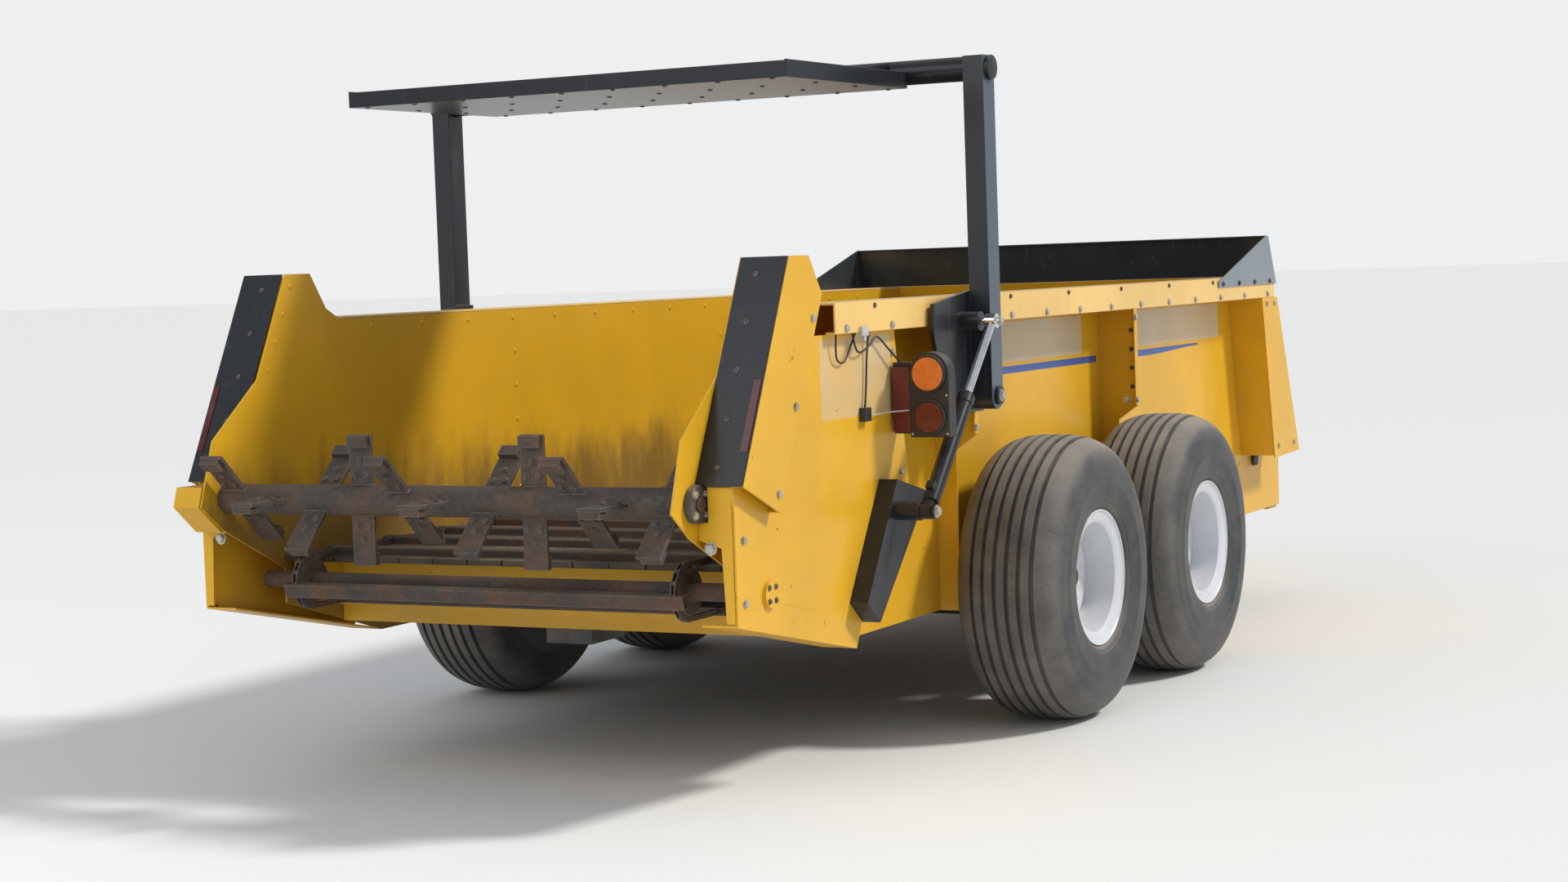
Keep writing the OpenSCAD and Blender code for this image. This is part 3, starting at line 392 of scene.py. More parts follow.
def sky_sheen_paint(name, colour, faded, starts, full, dust, coat):
    """Dark paint with a painted blue-grey sky reflection on its outermost faces."""
    material, tree, shader = new_material(name)
    # The colour given as faded is a painted blue-grey reflection of the sky on the outermost faces.
    tone = place_group(tree, OUTER_SKY_SHEEN, Colour=colour, Faded_colour=faded, Starts=starts, Full=full)
    use_grime(tree, shader, tone.outputs["Colour"], dust=dust, splash=0.25, wear=0.3, rough=0.34)
    feed(tree, shader, Coat_Weight=coat, Coat_Roughness=0.18)
    return material


def tyre_rubber():
    """Rubber that is dustier on the tread than on the sidewall; the wheel's top is lighter still, partly from
    dust and partly as painted sunlight.
    """
    material, tree, shader = new_material("dusty_tyre_rubber_sunlit_top")
    where = object_place(tree)
    crown = add(tree, "ShaderNodeAttribute", {"attribute_name": "crown"}).outputs["Fac"]
    upward = parts(tree, surface_normal(tree))[2]
    patches = remap(tree, noise(tree, where, 6.0, 6.0, 0.65), 0.30, 0.72)
    specks = remap(tree, noise(tree, where, 90.0, 3.0, 0.7), 0.45, 0.7)
    held = times(tree, patches, remap(tree, crown, 0.0, 1.0, 0.16, 0.28))
    # Lighter on faces that point up in the world, so the top stays lighter as the wheel turns: partly dust,
    # partly painted sunlight
    lying = times(tree, remap(tree, upward, 0.30, 0.97, 0.0, 0.55), remap(tree, crown, 0.0, 0.5, 0.35, 1.0))
    dust = plus(tree, plus(tree, times(tree, crown, 0.25), held), lying)
    dust = plus(tree, dust, times(tree, specks, 0.10), clamp=True)
    grain = plus(tree, noise(tree, where, 320.0, 2.0), times(tree, specks, 0.6))
    feed(tree, shader, Base_Color=mix(tree, dust, rgb(0.022, 0.025, 0.031), rgb(0.300, 0.265, 0.225)),
         Roughness=remap(tree, dust, 0.0, 1.0, 0.48, 0.92), Normal=bump(tree, grain, 0.25, 0.002))
    return material


def bright_steel(name, colour, rough, marked=True):
    """Bare metal, with fine marks or smooth as a piston rod."""
    material, tree, shader = new_material(name)
    steel = place_group(tree, RUBBED_STEEL, Colour=colour, Gloss_roughness=rough)
    feed(tree, shader, Metallic=1.0, Base_Color=steel.outputs["Colour"], Roughness=steel.outputs["Roughness"])
    if marked:
        feed(tree, shader, Normal=bump(tree, steel.outputs["Height"], 0.10, 0.001))
    return material


def worn_iron(name, colour, rust, polish):
    """Dark iron of the apron and beater, rusted in patches and polished along its edges."""
    material, tree, shader = new_material(name)
    edge = place_group(tree, EDGE_WEAR, Radius=0.005, Flat=0.99, Sharp=0.92)
    iron = place_group(tree, RUST_AND_POLISH, Colour=colour, Rust_colour=rust, Polish=polish,
                       Edge=edge.outputs["Mask"])
    finish_with(tree, shader, iron, 0.35, 0.003)
    feed(tree, shader, Metallic=iron.outputs["Metallic"])
    return material


def floor_boards(width=0.142):
    """Dark, soiled boards that run along the box."""
    material, tree, shader = new_material("soiled_floor_boards")
    where = object_place(tree)
    x, y, z = parts(tree, where)
    place = maths(tree, "DIVIDE", y, width)
    across = maths(tree, "FRACT", place)
    seam = plus(tree, remap(tree, across, 0.035, 0.015), remap(tree, across, 0.965, 0.985), clamp=True)
    # Each board has its own stretch of the grain
    own = add(tree, "ShaderNodeCombineXYZ", None, i0=x, i1=maths(tree, "FLOOR", place), i2=z).outputs[0]
    grain = noise(tree, stretched(tree, own, (1.2, 7.0, 7.0)), 6.0, 8.0, 0.68)
    tone = mix(tree, remap(tree, grain, 0.3, 0.7), rgb(0.075, 0.052, 0.034), rgb(0.17, 0.125, 0.085))
    wet = remap(tree, noise(tree, where, 2.2, 6.0, 0.62), 0.42, 0.64, 0.0, 0.8)
    tone = mix(tree, wet, tone, rgb(0.030, 0.020, 0.012))
    height = maths(tree, "SUBTRACT", times(tree, grain, 0.4), seam)
    feed(tree, shader, Base_Color=mix(tree, seam, tone, rgb(0.008, 0.006, 0.005)),
         Roughness=remap(tree, wet, 0.0, 0.8, 0.82, 0.5), Normal=bump(tree, height, 0.6, 0.004))
    return material


def lamp_lens(name, colour, glow):
    """Moulded lens with fine ribs."""
    material, tree, shader = new_material(name)
    finish_with(tree, shader, place_group(tree, RIBBED_LENS, Colour=colour), 0.3, 0.002)
    # A faint glow; on the red reflector it is a painted glint.
    feed(tree, shader, Coat_Weight=0.4, Specular_IOR_Level=0.35, Emission_Color=glow, Emission_Strength=0.12)
    return material


def moulded_black():
    """Matt black plastic of lamps, caps and guards."""
    material, tree, shader = new_material("moulded_black")
    use_grime(tree, shader, rgb(0.018, 0.018, 0.019), dust=0.35, splash=0.25, wear=0.15, rough=0.5, dents=0.06)
    return material


MATS = {
    "yellow": paint("spreader_yellow", YELLOW, 0.10, dust=0.18, splash=0.36, wear=0.4, rough=0.34),
    # The rail's yellow is paler than the rest: partly sun-faded paint, partly painted sunlight
    "rail": paint("rail_faded_sunlit_yellow", rgb(0.86, 0.56, 0.17), 0.15, dust=0.42, splash=0.35, wear=0.35,
                  rough=0.34),
    "sheet": side_sheet_paint(),
    "plate": rear_plate_paint(),
    "black": paint("frame_black", rgb(0.012, 0.015, 0.020), 0.10, dust=0.09, splash=0.26, wear=0.35, rough=0.32,
                   worn_colour=rgb(0.16, 0.15, 0.14)),
    # Black paint with a painted blue-grey sky reflection on the outermost faces of the extension's gussets and
    # of the lift arms
    "extension": sky_sheen_paint("extension_blue_black_sky_sheen", rgb(0.030, 0.040, 0.050), rgb(0.20, 0.235, 0.27),
                                 1.1040, 1.1060, 0.22, 0.25),
    "arm": sky_sheen_paint("arm_black_sky_sheen", rgb(0.012, 0.015, 0.020), rgb(0.070, 0.095, 0.132),
                           1.2080, 1.2098, 0.09, 0.10),
    "white": paint("rim_white", rgb(0.72, 0.74, 0.78), 0.35, dust=0.30, splash=0.12, wear=0.25, rough=0.28,
                   worn_colour=rgb(0.25, 0.20, 0.16)),
    "tyre": tyre_rubber(),
    "rod": bright_steel("chromed_rod", rgb(0.72, 0.73, 0.75), 0.14, marked=False),
    "steel": bright_steel("bare_steel", rgb(0.46, 0.45, 0.44), 0.34),
    "zinc": bright_steel("zinc_bolt", rgb(0.58, 0.56, 0.50), 0.38),
    "iron": worn_iron("apron_iron", rgb(0.060, 0.050, 0.042), rgb(0.13, 0.062, 0.030), 0.9),
    "beater_iron": worn_iron("beater_iron", rgb(0.052, 0.044, 0.038), rgb(0.11, 0.058, 0.030), 0.7),
    "gear_case": paint("gear_case_grey", rgb(0.055, 0.055, 0.058), 0.25, dust=0.5, splash=0.4, wear=0.3,
                       rough=0.45),
    "boards": floor_boards(),
    "bolt_dark": worn_iron("dark_bolt", rgb(0.040, 0.038, 0.037), rgb(0.09, 0.05, 0.03), 0.8),
    "amber": lamp_lens("amber_lens", rgb(0.66, 0.155, 0.018), rgb(0.85, 0.22, 0.03)),
    "red": lamp_lens("red_lens", rgb(0.105, 0.006, 0.009), rgb(0.13, 0.006, 0.008)),
    "moulded": moulded_black(),
    "pale": paint("pale_plastic", rgb(0.50, 0.51, 0.51), 0.1, dust=0.35, splash=0.3, wear=0.1, rough=0.45),
    # The reflector's faint red glow is a painted glint, as a reflector has no lamp
    "reflector": lamp_lens("red_reflector", rgb(0.080, 0.005, 0.008), rgb(0.10, 0.005, 0.008)),
}

# Keeping pieces


def mesh_from(name, bm):
    mesh = bpy.data.meshes.new(name)
    bm.to_mesh(mesh)
    bm.free()
    return mesh


def in_scene(name, data):
    """A new object that is already in the scene."""
    obj = bpy.data.objects.new(name, data)
    bpy.context.scene.collection.objects.link(obj)
    return obj


def keep_mesh(name, mesh, material, body, nodes=(), smooth_angle=32.0):
    """A finished piece that rides on its body. No smooth_angle keeps the mesh's own sharp edges."""
    mesh.materials.clear()
    mesh.materials.append(MATS[material])
    mesh.polygons.foreach_set("material_index", [0] * len(mesh.polygons))
    mesh.polygons.foreach_set("use_smooth", [True] * len(mesh.polygons))
    if smooth_angle is not None:
        mesh.set_sharp_from_angle(angle=math.radians(smooth_angle))
    mesh.update()
    obj = in_scene(name, mesh)
    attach(obj, body)
    if nodes:
        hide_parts(*nodes)


def keep(name, bm, material, body, nodes=(), smooth_angle=32.0):
    """A finished piece from a bmesh."""
    keep_mesh(name, mesh_from(name, bm), material, body, nodes, smooth_angle)


def flattened(obj):
    """Mesh of an object with its modifiers applied. The object goes."""
    bpy.context.view_layer.update()
    ready = obj.evaluated_get(bpy.context.evaluated_depsgraph_get())
    mesh = bpy.data.meshes.new_from_object(ready)
    bpy.data.objects.remove(obj)
    return mesh


def body_holding(node):
    return next(body for body, nodes in frame["record"]["behaviour"]["bodies"].items() if node in nodes)


def joined_node(node):
    """The node's loose triangles joined, and its flat faces made whole."""
    bm = bmesh.new()
    bm.from_mesh(NODES[node].data)
    bmesh.ops.remove_doubles(bm, verts=bm.verts, dist=2e-5)
    bmesh.ops.dissolve_limit(bm, angle_limit=math.radians(0.6), verts=bm.verts, edges=bm.edges)
    return bm


def folded_area(mesh):
    """Area of the triangles that face against their own polygon."""
    mesh.calc_loop_triangles()
    return sum(part.area for part in mesh.loop_triangles
               if part.normal.dot(mesh.polygons[part.polygon_index].normal) < 0.3)


# Share of the bevel's width, whether concave faces are split first, and whether the bevel is clamped
BEVEL_TRIES = ((1.0, False, False), (0.6, False, False), (0.3, False, False), (1.0, False, True),
               (1.0, True, False), (0.6, True, False), (1.0, True, True), (0.0, True, True))


def dress(node, material, bevel=0.002, segments=2):
    """The node's own shape with its edges rounded, as wide as folds no face over."""
    tries = []
    for share, convex, clamp in BEVEL_TRIES:
        bm = joined_node(node)
        if convex:
            bmesh.ops.connect_verts_concave(bm, faces=bm.faces)
        mesh = mesh_from(node + "_raw", bm)
        mesh.polygons.foreach_set("use_smooth", [True] * len(mesh.polygons))
        mesh.set_sharp_from_angle(angle=math.radians(32))
        obj = in_scene(node + "_raw", mesh)
        if bevel * share:
            rounding = obj.modifiers.new("edge rounding", "BEVEL")
            rounding.width = bevel * share
            rounding.segments = segments
            rounding.limit_method = "ANGLE"
            rounding.angle_limit = math.radians(40)
            rounding.use_clamp_overlap = clamp
            rounding.harden_normals = True
        rounded = flattened(obj)
        tries.append((folded_area(rounded), len(tries), rounded))
        if tries[-1][0] < 2e-5:
            break
    keep_mesh(node + "_finished", min(tries)[2], material, body_holding(node), (node,), None)


# Mesh helpers


def row(first, last, count):
    """Equal steps from the first place to the last."""
    return [first + (last - first) * i / (count - 1) for i in range(count)]


def turns(count, shift=0.0):
    """Angles of equal steps around a circle."""
    return [2 * math.pi * (i + shift) / count for i in range(count)]


def on_circle(radius, count, shift=0.0):
    """Equal steps around a circle as pairs from its middle."""
    return [(radius * math.cos(turn), radius * math.sin(turn)) for turn in turns(count, shift)]


def skin(bm, rings, closed=False):
    """Four-sided faces from each ring of points to the next."""
    for a, b in list(zip(rings, rings[1:])) + ([(rings[-1], rings[0])] if closed else []):
        for i in range(len(a)):
            j = (i + 1) % len(a)
            bm.faces.new((a[i], a[j], b[j], b[i]))


def face_outwards(bm, merge=0.0):
    """Normals outwards, after points nearer than merge are joined."""
    if merge:
        bmesh.ops.remove_doubles(bm, verts=bm.verts, dist=merge)
    bmesh.ops.recalc_face_normals(bm, faces=bm.faces)
    return bm


def add_turned(bm, profile, axle_place, segments, closed=False, crown=None):
    """Turned surface about a line across the machine from (radius, y) points."""
    x, z = axle_place
    layer = bm.verts.layers.float.new("crown") if crown else None
    rings = [[bm.verts.new((x + a, y, z + b)) for a, b in on_circle(radius, segments)] for radius, y in profile]
    for ring, share in zip(rings, crown or ()):
        for vert in ring:
            vert[layer] = share
    skin(bm, rings, closed)
    return rings


def add_box(bm, low, high):
    """Closed box between two corners."""
    xs, ys, zs = zip(low, high)
    verts = [bm.verts.new((x, y, z)) for x in xs for y in ys for z in zs]
    for face in ((0, 1, 3, 2), (4, 6, 7, 5), (0, 4, 5, 1), (2, 3, 7, 6), (0, 2, 6, 4), (1, 5, 7, 3)):
        bm.faces.new([verts[i] for i in face])
    return verts


def add_prism(bm, outline, y0, y1):
    """Closed piece with its outline in X and Z between two planes across the machine."""
    ends = [[bm.verts.new((x, y, z)) for x, z in outline] for y in (y0, y1)]
    skin(bm, ends)
    for end in ends:
        bm.faces.new(end)


def add_tube(bm, points, radius, sides=10):
    """Closed round tube along points."""
    rings = []
    for k, point in enumerate(points):
        ahead = Vector(points[min(k + 1, len(points) - 1)]) - Vector(points[max(k - 1, 0)])
        turn = ahead.to_track_quat("Z", "Y")
        rings.append([bm.verts.new(Vector(point) + turn @ Vector((a, b, 0)))
                      for a, b in on_circle(radius, sides)])
    skin(bm, rings)
    bm.faces.new(list(reversed(rings[0])))
    bm.faces.new(rings[-1])


def bent(points, pieces):
    """Smooth curve through a few points."""
    result = []
    last = len(points) - 1
    for k in range(last):
        p0, p1, p2, p3 = (Vector(points[max(0, min(last, k + d))]) for d in (-1, 0, 1, 2))
        for i in range(pieces):
            t = i / pieces
            result.append(0.5 * ((2 * p1) + (p2 - p0) * t + (2 * p0 - 5 * p1 + 4 * p2 - p3) * t * t
                                 + (3 * p1 - p0 - 3 * p2 + p3) * t ** 3))
    return result + [Vector(points[-1])]


def add_stack(bm, profile, sides):
    """Rings about +Z from (radius, height) points, skinned."""
    rings = [[bm.verts.new((a, b, height)) for a, b in on_circle(radius, sides)] for radius, height in profile]
    skin(bm, rings)
    return rings


def turned_mesh(name, profile, sides=24, closed=False):
    """Turned piece about +Z from (radius, height) points."""
    bm = bmesh.new()
    rings = add_stack(bm, profile, sides)
    if closed:
        skin(bm, [rings[-1], rings[0]])
    else:
        bm.faces.new(rings[0])
        bm.faces.new(rings[-1])
    return mesh_from(name, face_outwards(bm))


def hex_head_mesh(name, across, head):
    """Low hexagon head on a washer, pointing along +Z."""
    bm = bmesh.new()
    washer = [(across * 1.35, 0.0), (across * 1.35, 0.0022), (across * 0.9, 0.0026)]
    hexagon = [(across, 0.0024), (across, head * 0.82), (0.82 * across, head)]
    for profile, sides in ((washer, 12), (hexagon, 6)):
        rings = add_stack(bm, profile, sides)
        bm.faces.new(list(reversed(rings[0])))
        bm.faces.new(rings[-1])
    return mesh_from(name, bm)


def hex_bolt(size):
    """Hexagon bolt head of a size in millimetres."""
    return hex_head_mesh(f"m{size}_bolt", size * 0.00092, size * 0.00078)


# Repeats by Geometry Nodes


def scatter_tree(name, pattern, material):
    """Puts the pattern on every point of a point cloud, turned by its attributes and sized by one factor for
    all.
    """
    tree = bpy.data.node_groups.new(name, "GeometryNodeTree")
    tree.interface.new_socket("Points", in_out="INPUT", socket_type="NodeSocketGeometry")
    size = tree.interface.new_socket("Size", in_out="INPUT", socket_type="NodeSocketFloat")
    size.default_value = 1.0
    tree.interface.new_socket("Pieces", in_out="OUTPUT", socket_type="NodeSocketGeometry")
    given = tree.nodes.new("NodeGroupInput").outputs
    source = add(tree, "GeometryNodeObjectInfo", {"transform_space": "ORIGINAL"}, Object=pattern)
    turn = add(tree, "GeometryNodeInputNamedAttribute", {"data_type": "FLOAT_VECTOR"}, Name="turn")
    copies = add(tree, "GeometryNodeInstanceOnPoints", None, Points=given["Points"], Scale=given["Size"],
                 Instance=source.outputs["Geometry"], Rotation=turn.outputs["Attribute"])
    real = add(tree, "GeometryNodeRealizeInstances", None, Geometry=copies.outputs["Instances"])
    finish = add(tree, "GeometryNodeSetMaterial", None, Geometry=real.outputs["Geometry"], Material=material)
    add(tree, "NodeGroupOutput", None, Pieces=finish.outputs["Geometry"])
    return tree, size.identifier


def repeat_on(name, pattern_mesh, places, material, body="chassis", nodes=(), smooth_angle=32.0):
    """One mesh with the pattern at every place: (point, direction), or (point, Euler turn and a 0)."""
    pattern = in_scene(name + "_pattern", pattern_mesh)
    cloud = bpy.data.meshes.new(name + "_places")
    cloud.from_pydata([tuple(point) for point, _ in places], [], [])
    turned = cloud.attributes.new("turn", "FLOAT_VECTOR", "POINT")
    for entry, (_, aim) in zip(turned.data, places):
        euler = aim[:3] if len(aim) == 4 else Vector(aim).to_track_quat("Z", "Y").to_euler()
        entry.vector = tuple(euler)
    holder = in_scene(name + "_holder", cloud)
    tree, size_socket = scatter_tree(name + "_tree", pattern, MATS[material])
    scatter = holder.modifiers.new("scatter", "NODES")
    scatter.node_group = tree
    scatter[size_socket] = 1.0
    mesh = flattened(holder)
    bpy.data.objects.remove(pattern)
    bpy.data.node_groups.remove(tree)
    keep_mesh(name, mesh, material, body, nodes, smooth_angle)


# Wheels

TYRE_R = 0.540
SHOULDER_Y = 0.150
GROOVES = (-0.117, -0.070, -0.0235, 0.0235, 0.070, 0.117)
GROOVE_DEPTH, GROOVE_HALF = 0.013, 0.006
# Bead to shoulder: radius, distance from the centre plane, share of tread dust
SIDEWALL = [
    (0.2160, 0.1650, 0.0), (0.2585, 0.1742, 0.5), (0.2650, 0.1860, 0.55), (0.2760, 0.1935, 0.5),
    (0.2830, 0.1935, 0.3), (0.2860, 0.1964, 0.35), (0.2900, 0.1972, 0.1), (0.3200, 0.2030, 0.0),
    (0.3550, 0.2075, 0.0), (0.3620, 0.2098, 0.0), (0.3760, 0.2098, 0.0), (0.3830, 0.2078, 0.05),
    (0.4150, 0.2075, 0.12), (0.4420, 0.2040, 0.25), (0.4480, 0.2010, 0.35), (0.4560, 0.1990, 0.45),
    (0.4760, 0.1930, 0.7), (0.4920, 0.1820, 0.9), (0.5040, 0.1690, 1.0)]
# Rim from the hub's outer end over the disc to the drop centre: radius, distance from the centre plane
DISC = [
    (0.0352, 0.074), (0.046, 0.0745), (0.052, 0.071), (0.055, 0.062), (0.060, 0.050), (0.070, 0.044),
    (0.084, 0.0405), (0.118, 0.040), (0.126, 0.043), (0.150, 0.052), (0.168, 0.0545), (0.185, 0.050),
    (0.1985, 0.040), (0.2030, 0.048), (0.2045, 0.070)]
LIP = [
    (0.2050, 0.140), (0.2080, 0.160), (0.2200, 0.1690), (0.2400, 0.1735), (0.2490, 0.1790),
    (0.2530, 0.1835), (0.2560, 0.1838), (0.2574, 0.1810), (0.2570, 0.1765), (0.2480, 0.1700),
    (0.2250, 0.1650), (0.2158, 0.1600), (0.2155, 0.1300)]
DISC_BACK = [
    (0.2045, 0.0150), (0.1960, 0.0260), (0.1800, 0.0360), (0.1600, 0.0400), (0.1250, 0.0330),
    (0.0800, 0.0300), (0.0780, 0.0240), (0.0775, -0.150), (0.0740, -0.160), (0.0550, -0.166),
    (0.0352, -0.166)]
HUB_DOME = [(0.0385, 0.0712), (0.0385, 0.0770), (0.0340, 0.0800), (0.0180, 0.0822), (0.0008, 0.0826)]
VALVE = [(-0.188, 0.049, 0.020), (-0.184, 0.066, 0.020), (-0.176, 0.082, 0.019)]
NUT_CIRCLE, NUT_SEAT = 0.1015, 0.0403


def tyre_profile():
    """Closed outline (radius, distance from the centre plane, tread share), inner side to outer."""
    tread = []
    steps = (-GROOVE_HALF - 0.003, -GROOVE_HALF, GROOVE_HALF, GROOVE_HALF + 0.003)
    walls = [groove + step for groove in GROOVES for step in steps]
    ribs = [0.5 * (a + b) for a, b in zip(GROOVES, GROOVES[1:])]
    for y in sorted([-SHOULDER_Y, SHOULDER_Y] + walls + ribs):
        deep = any(abs(y - groove) <= GROOVE_HALF + 1e-6 for groove in GROOVES)
        crown = TYRE_R - 0.040 * (abs(y) / 0.176) ** 3.2
        tread.append((crown - (GROOVE_DEPTH if deep else 0.0), y, 0.35 if deep else 1.0))
    return [(r, -y, share) for r, y, share in SIDEWALL] + tread + SIDEWALL[::-1]


def build_wheel(end, side_name, x, side):
    """Tyre, rim with rolled lips and a dished disc, wheel nuts, hub cap and valve."""
    body = f"wheel_{end}_{side_name}"
    middle = side * WHEEL_Y
    name = f"tyre_{end}_{side_name}"
    outline = [(r, middle + y) for r, y, _ in tyre_profile()]
    crown = [share for _, _, share in tyre_profile()]
    bm = bmesh.new()
    add_turned(bm, outline, (x, WHEEL_Z), 112, True, crown)
    keep(name + "_ribbed", face_outwards(bm), "tyre", body, (name,), 38.0)

    name = f"rim_{end}_{side_name}"
    outline = DISC + LIP + [(r, -y) for r, y in reversed(LIP)] + DISC_BACK
    bm = bmesh.new()
    add_turned(bm, [(r, middle + side * y) for r, y in outline], (x, WHEEL_Z), 96, True)
    keep(name + "_pressed", face_outwards(bm), "white", body, (name,), 30.0)
    nuts = [((x + a, middle + side * NUT_SEAT, WHEEL_Z + b), (0, side, 0))
            for a, b in on_circle(NUT_CIRCLE, 8, 0.5)]
    repeat_on(name + "_nuts", hex_head_mesh("wheel_nut", 0.0130, 0.0150), nuts, "white", body)
    cap = bmesh.new()
    rings = add_turned(cap, [(r, middle + side * y) for r, y in HUB_DOME], (x, WHEEL_Z), 32)
    cap.faces.new(rings[0])
    cap.faces.new(rings[-1])
    keep(name + "_hub_cap", face_outwards(cap, 1e-5), "moulded", body, (), 40.0)
    valve = bmesh.new()
    add_tube(valve, [(x + dx, middle + side * y, WHEEL_Z + dz) for dx, y, dz in VALVE], 0.0055, 10)
    keep(name + "_valve", face_outwards(valve, 1e-5), "moulded", body, (), 40.0)


for end, step in (("front", 1), ("rear", -1)):
    for side_name, side in SIDES.items():
        build_wheel(end, side_name, along(step * AXLE_STEP), side)

# The CAD's own pieces, dressed

for side_name in SIDES:
    for node, material, *rounding in (
            ("side_sheet", "sheet", 0.0015), ("top_rail", "rail", 0.0035, 3), ("stakes", "yellow"),
            ("side_plate", "plate"), ("rear_post", "yellow", 0.0030, 3), ("arm_bracket", "black"),
            ("cylinder_bracket", "black", 0.0030, 3),
            ("lift_arm", "arm", 0.0040, 3), ("tandem_beam", "black", 0.0040, 3), ("barrel", "black", 0.0015),
            ("rod", "rod", 0.0010)):
        dress(f"{node}_{side_name}", material, *rounding)
for node in ("front_wall", "frame_sills", "cross_members", "return_guides", "rear_beam", "rear_gussets",
             "drive_shield", "drawbar"):
    dress(node, "yellow", 0.0025)
dress("front_extension", "extension")
for node in ("rear_strips", "axle", "cross_tube", "line_shaft", "jack_tube", "gate_panel"):
    dress(node, "black")
for node, material, *rounding in (
        ("floor_deck", "boards", 0.0), ("apron_shafts", "iron", 0.0010), ("beater", "beater_iron", 0.0015),
        ("beater_bearings", "gear_case", 0.0030, 3), ("gearboxes", "gear_case", 0.0060, 3),
        ("pto_guard", "moulded"), ("pto_shaft", "steel", 0.0015), ("jack_leg", "steel"),
        ("lamp_housings", "moulded", 0.0040, 3),
        ("lamp_lenses_amber", "amber", 0.0040, 3), ("lamp_lenses_red", "red", 0.0030, 3)):
    dress(node, material, *rounding)

# Bolts of the box


def front_x(z):
    """Front wall's outer face at a height."""
    return 2.620 + (1.625 - z) * math.tan(WALL_LEAN)


def post_rear(z):
    """Rear edge of the rear posts at a height."""
    return -2.800 + (z - 1.075) * math.tan(POST_LEAN)


WALL_OUT = (math.cos(WALL_LEAN), 0, math.sin(WALL_LEAN))
STRIP_OUT = (-math.cos(POST_LEAN), 0, math.sin(POST_LEAN))
REARWARD = (-1, 0, 0)
PLATE_COVER_Y = 1.072
BEARING_FACE_Y = 0.9563
RAIL_ROWS = ((RAIL_LOW + 0.018, -2.05, 2.53, 14), (RAIL_TOP - 0.016, -1.83, 2.31, 8))


def seat(side, x, y, z, aim=None):
    """Place of a bolt on one side, and where its head points: outwards, unless told."""
    return (along(x), side * y, z), aim or (0, side, 0)


def rail_row(side, z, first, last, count):
    """Bolts along a rail, without those that the lift arm covers."""
    return [seat(side, x, RAIL_Y, z) for x in row(first, last, count) if not -1.14 < x < -0.95]


zinc_places, dark_places, pin_places, pivot_places, coach_places = [], [], [], [], []
for side in SIDES.values():
    out, inwards = (0, side, 0), (0, -side, 0)
    zinc_places += rail_row(side, *RAIL_ROWS[0])
    dark_places += rail_row(side, *RAIL_ROWS[1])
    # Stakes: head and foot of the flange, and a row up the web
    zinc_places += [seat(side, x - 0.008, RAIL_Y, z) for x in STAKES for z in (1.135, 1.485)]
    dark_places += [seat(side, 0.700, 1.078, z, REARWARD) for z in (1.19, 1.27, 1.35, 1.43)]
    pin_places.append(seat(side, 0.700, 1.050, 1.135, REARWARD))
    # Front post, rear post, its black strip and the plate below it
    zinc_places += [seat(side, x, RAIL_Y, z)
                    for x, z in ((2.52, 1.49), (2.64, 1.49), (2.66, 0.79), (2.91, 0.79))]
    zinc_places += [seat(side, post_rear(z) + 0.255, RAIL_Y, z) for z in (1.03, 1.30, 1.58)]
    dark_places += [seat(side, post_rear(z) - 0.010, 1.000, z, STRIP_OUT) for z in row(1.13, 1.73, 5)]
    zinc_places += [seat(side, x, PLATE_Y, z)
                    for x, z in ((-2.30, 1.44), (-2.74, 0.90), (-2.74, 0.70), (-1.62, 1.44), (-1.58, 1.02))]
    pin_places.append(seat(side, -2.7963, 0.975, 0.880, REARWARD))
    # Covers of the apron's bearings and the beater's
    dark_places += [((APRON_REAR + a, side * PLATE_COVER_Y, APRON_Z + b), out)
                    for a, b in on_circle(0.031, 4, 0.5)]
    zinc_places += [seat(side, BEATER_X + a, BEARING_FACE_Y, BEATER_Z + b) for a, b in on_circle(0.046, 4, 0.5)]
    # Arm bracket, and the ends of the arm's pivot, the base pin and the tandem's pivot
    dark_places += [seat(side, -0.988, 1.1073, z) for z in (1.40, 1.49, 1.58)]
    pin_places += [seat(side, LIFT_X, 1.224, LIFT_Z), seat(side, -1.770, 1.281, 0.900)]
    pivot_places.append(seat(side, 0, 1.022, 0.360))
    # Coach bolts: sills outside, rails, stakes and rear posts inside the box
    coach_places += [seat(side, x, SHEET_Y, 0.705) for x in row(-1.42, 2.84, 16)]
    coach_places += [seat(side, x, INSIDE_Y, 1.585, inwards) for x in row(-1.95, 2.45, 15)]
    coach_places += [seat(side, x, INSIDE_Y, z, inwards) for x in STAKES for z in row(0.90, 1.45, 5)]
    coach_places += [seat(side, post_rear(z) + 0.045, INSIDE_Y, z, inwards) for z in row(1.45, 1.74, 4)]
zinc_places += [((along(front_x(z) + 0.060), y, z), WALL_OUT)
                for z in (1.570, 1.255, 0.925) for y in row(-0.84, 0.84, 7)]
repeat_on("side_bolts", hex_bolt(12), zinc_places, "zinc")
coach = turned_mesh("coach_bolt", [(0.0105, 0.0), (0.0105, 0.0008), (0.0075, 0.0026), (0.0030, 0.0034),
                                   (0.0006, 0.0036)], 16)
repeat_on("coach_bolts", coach, coach_places, "yellow")
repeat_on("dark_bolts", hex_bolt(8), dark_places, "bolt_dark")
repeat_on("pin_heads", hex_bolt(18), pin_places, "zinc")
repeat_on("tandem_pivot_nuts", hex_bolt(36), pivot_places, "bolt_dark")
for side_name, side in SIDES.items():
    repeat_on(f"rod_pin_head_{side_name}", hex_bolt(14), [seat(side, -1.170, 1.279, 1.530)], "zinc",
              f"piston_{side_name}")

# Welds in the inner corners


